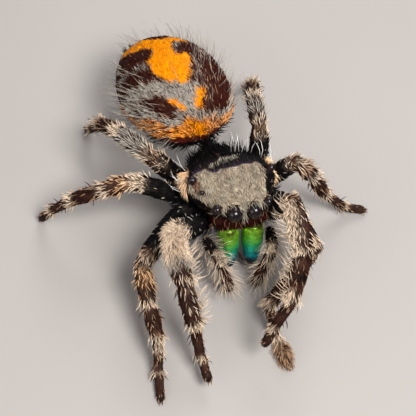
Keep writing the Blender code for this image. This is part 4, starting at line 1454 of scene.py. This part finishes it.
def addEye(eye):
    deselectAll()
    bpy.ops.mesh.primitive_uv_sphere_add(segments=40, ring_count=26, radius=eye["radius"])
    thing = bpy.context.object
    thing.name = f"{eye['name']}_lens"
    points = readVerts(thing.data)
    height = points[:, 2] / eye["radius"]
    waist = 1 - groove["depth"] * np.exp(-((height - groove["height"]) / groove["width"]) ** 2)
    points[:, :2] *= waist[:, None]
    turn = eye["facing"].to_track_quat("Z", "Y").to_matrix().to_4x4()
    writeVerts(thing.data, moved(points * shrink, Matrix.Translation(eye["middle"]) @ turn))
    finishPiece(thing, eyeMaterial, "eye", eye["name"])


eyeMaterial = makeTwoToneMaterial("black_eye", eyeFinish)
for eye in eyes:
    addEye(eye)
print("Eyes set")


# Chelicerae: green to blue scales with fine cross ridges, and the fangs under them

jawSet = {
    "base": Vector((0.6, -2.23, -0.62)),
    "reach": Vector((-0.05, -0.53, -2.1)),  # from base to tip
    "radius": 0.5,
    "inset": 0.02,
    "profile": [(0, 0.95), (0.12, 1.08), (0.4, 1.06), (0.75, 0.86), (0.93, 0.64), (1, 0.42)],
    "ridges": 34,
    "depth": 0.008,
}
jawHues = {  # by share of the length
    0.0: (0.07, 0.09, 0.01),
    0.06: (0.20, 0.40, 0.02),
    0.28: (0.16, 0.52, 0.05),
    0.45: (0.03, 0.44, 0.14),
    0.62: (0.01, 0.40, 0.32),
    0.76: (0.01, 0.30, 0.36),
    0.86: (0.008, 0.05, 0.07),
    0.94: (0.004, 0.01, 0.012),
}
jawFinish = {
    "sockets": {"Metallic": 0.75},
    "shade": (3500.0, 0.6, 1.25),
    "roughness": (7000.0, 0.2, 0.42),
    "pits": (16000.0, 0.6, 0.00001),
}


def addJaw(side, sign):
    shares = np.linspace(0, 1, 90)
    tip = jawSet["base"] + jawSet["reach"]
    points = [trunkPlace(jawSet["base"].lerp(tip, at), sign) for at in shares]
    radii = []
    for at in shares:
        ridge = jawSet["depth"] * math.sin(at * jawSet["ridges"] * 2 * math.pi) * float(ramp(0.05, 0.2, at))
        radii.append(jawSet["radius"] * float(readStations(jawSet["profile"], at)) - jawSet["inset"] + ridge)
    thing = addTube(f"{side}_chelicera_shell", points, radii, 36)
    verts = readVerts(thing.data)
    start, end = np.array(points[0]), np.array(points[-1])
    axis = end - start
    at = (verts - start) @ axis / (axis @ axis)
    at = at + 0.05 * waves(verts, 0.5, 41)  # the hues' edges waver
    addMarking(thing.data, blendColours(at, list(jawHues), jawHues.values()))
    finishPiece(thing, jawMaterial, "green_scale", f"{side}_chelicera")


fangSet = {
    "fromJaw": Vector((0.08, 0.12, -0.15)),
    "knots": [(0, 0, 0), (-0.1, 0.25, -0.3), (-0.25, 0.55, -0.42), (-0.33, 0.9, -0.4)],
    "radii": [0.22, 0.18, 0.11, 0.03],
}
fangFinish = {
    "sockets": {"Roughness": 0.22, "Coat Weight": 0.5},
    "first": (0.02, 0.005, 0.004),
    "second": (0.14, 0.03, 0.012),
    "patches": (2500.0, 0.0, 1.0),
}


def addFang(side, sign):
    start = jawSet["base"] + jawSet["reach"] + fangSet["fromJaw"]
    knots = [start + Vector(knot) for knot in fangSet["knots"]]
    places = np.linspace(0, 3, 16)
    route = blendColours(places, range(4), knots)
    points = [trunkPlace(place, sign) for place in route.tolist()]
    radii = np.interp(places, range(4), fangSet["radii"])
    thing = addTube(f"{side}_fang_claw", points, radii, 16)
    finishPiece(thing, fangMaterial, "claw", f"{side}_fang")


jawMaterial = makeMarkedMaterial("green_scale", jawFinish)
fangMaterial = makeTwoToneMaterial("dark_fang", fangFinish)
for side, sign in sides:
    addJaw(side, sign)
    addFang(side, sign)
print("Chelicerae and fangs made")


# Two small claws at the end of each foot

clawSet = {
    "length": 0.2, "radius": 0.035, "taper": 0.85, "apart": 0.07, "lift": 0.04, "droop": 0.6,
    "lowest": 0.04}


def addClaws():
    made = []
    for name in legPoses:
        foot, toe = legJoints(name)[-2:]
        along = (toe - foot).normalized()
        side = along.cross(Vector((0, 0, 1))).normalized()
        lift = side.cross(along).normalized()
        for sign in (1, -1):
            points, radii = [], []
            for at in (number / 7 for number in range(8)):
                rise = clawSet["lift"] - clawSet["droop"] * at * at * clawSet["length"]
                point = toe + side * sign * clawSet["apart"] + along * clawSet["length"] * at + lift * rise
                point.z = max(point.z, clawSet["lowest"])
                points.append(point)
                radii.append(clawSet["radius"] * (1 - clawSet["taper"] * at))
            made.append(addTube("claw", points, radii, 8))
    finishPiece(joinThings(made, "foot_claws"), fangMaterial, "claw")


addClaws()
print("Claws made")


# Floor, light and world

floorFinish = {
    "sockets": {"Roughness": 0.6},
    "first": (0.34, 0.31, 0.285),
    "second": (0.3196, 0.2914, 0.2679),
    "patches": (40.0, 0.0, 1.0),
}
world = {"colour": (0.9, 0.92, 1.0), "strength": 0.3}
lights = {  # direction from the spider, distance and size in millimetres, and power in watts
    "key": ((0.2, -0.5, 1.0), 90, 40, 0.125),
    "fill": ((-1.0, -0.5, 0.7), 110, 70, 0.035),
    "rim": ((0.5, 1.0, 0.9), 100, 50, 0.05),
}
lightsAim = Vector((0, 0, 3))


def addFloor():
    deselectAll()
    bpy.ops.mesh.primitive_plane_add(size=2.0)
    floor = bpy.context.object
    floor.name = "floor"
    floor.data.materials.append(makeTwoToneMaterial("pale_floor", floorFinish))


def addLights():
    for name, (direction, distance, size, power) in lights.items():
        data = bpy.data.lights.new(name, "AREA")
        data.shape = "RECTANGLE"
        data.size = size * mm
        data.size_y = size * mm
        data.energy = power
        lamp = bpy.data.objects.new(name, data)
        bpy.context.scene.collection.objects.link(lamp)
        away = Vector(direction).normalized()
        lamp.location = (lightsAim + away * distance) * mm
        lamp.rotation_euler = away.to_track_quat("Z", "Y").to_euler()


def addWorld():
    studio = bpy.data.worlds.new("studio")
    studio.use_nodes = True
    background = studio.node_tree.nodes["Background"]
    background.inputs["Color"].default_value = (*world["colour"], 1)
    background.inputs["Strength"].default_value = world["strength"]
    bpy.context.scene.world = studio
    bpy.context.scene.view_settings.view_transform = "Standard"


addFloor()
addLights()
addWorld()
print("Floor and lights placed")
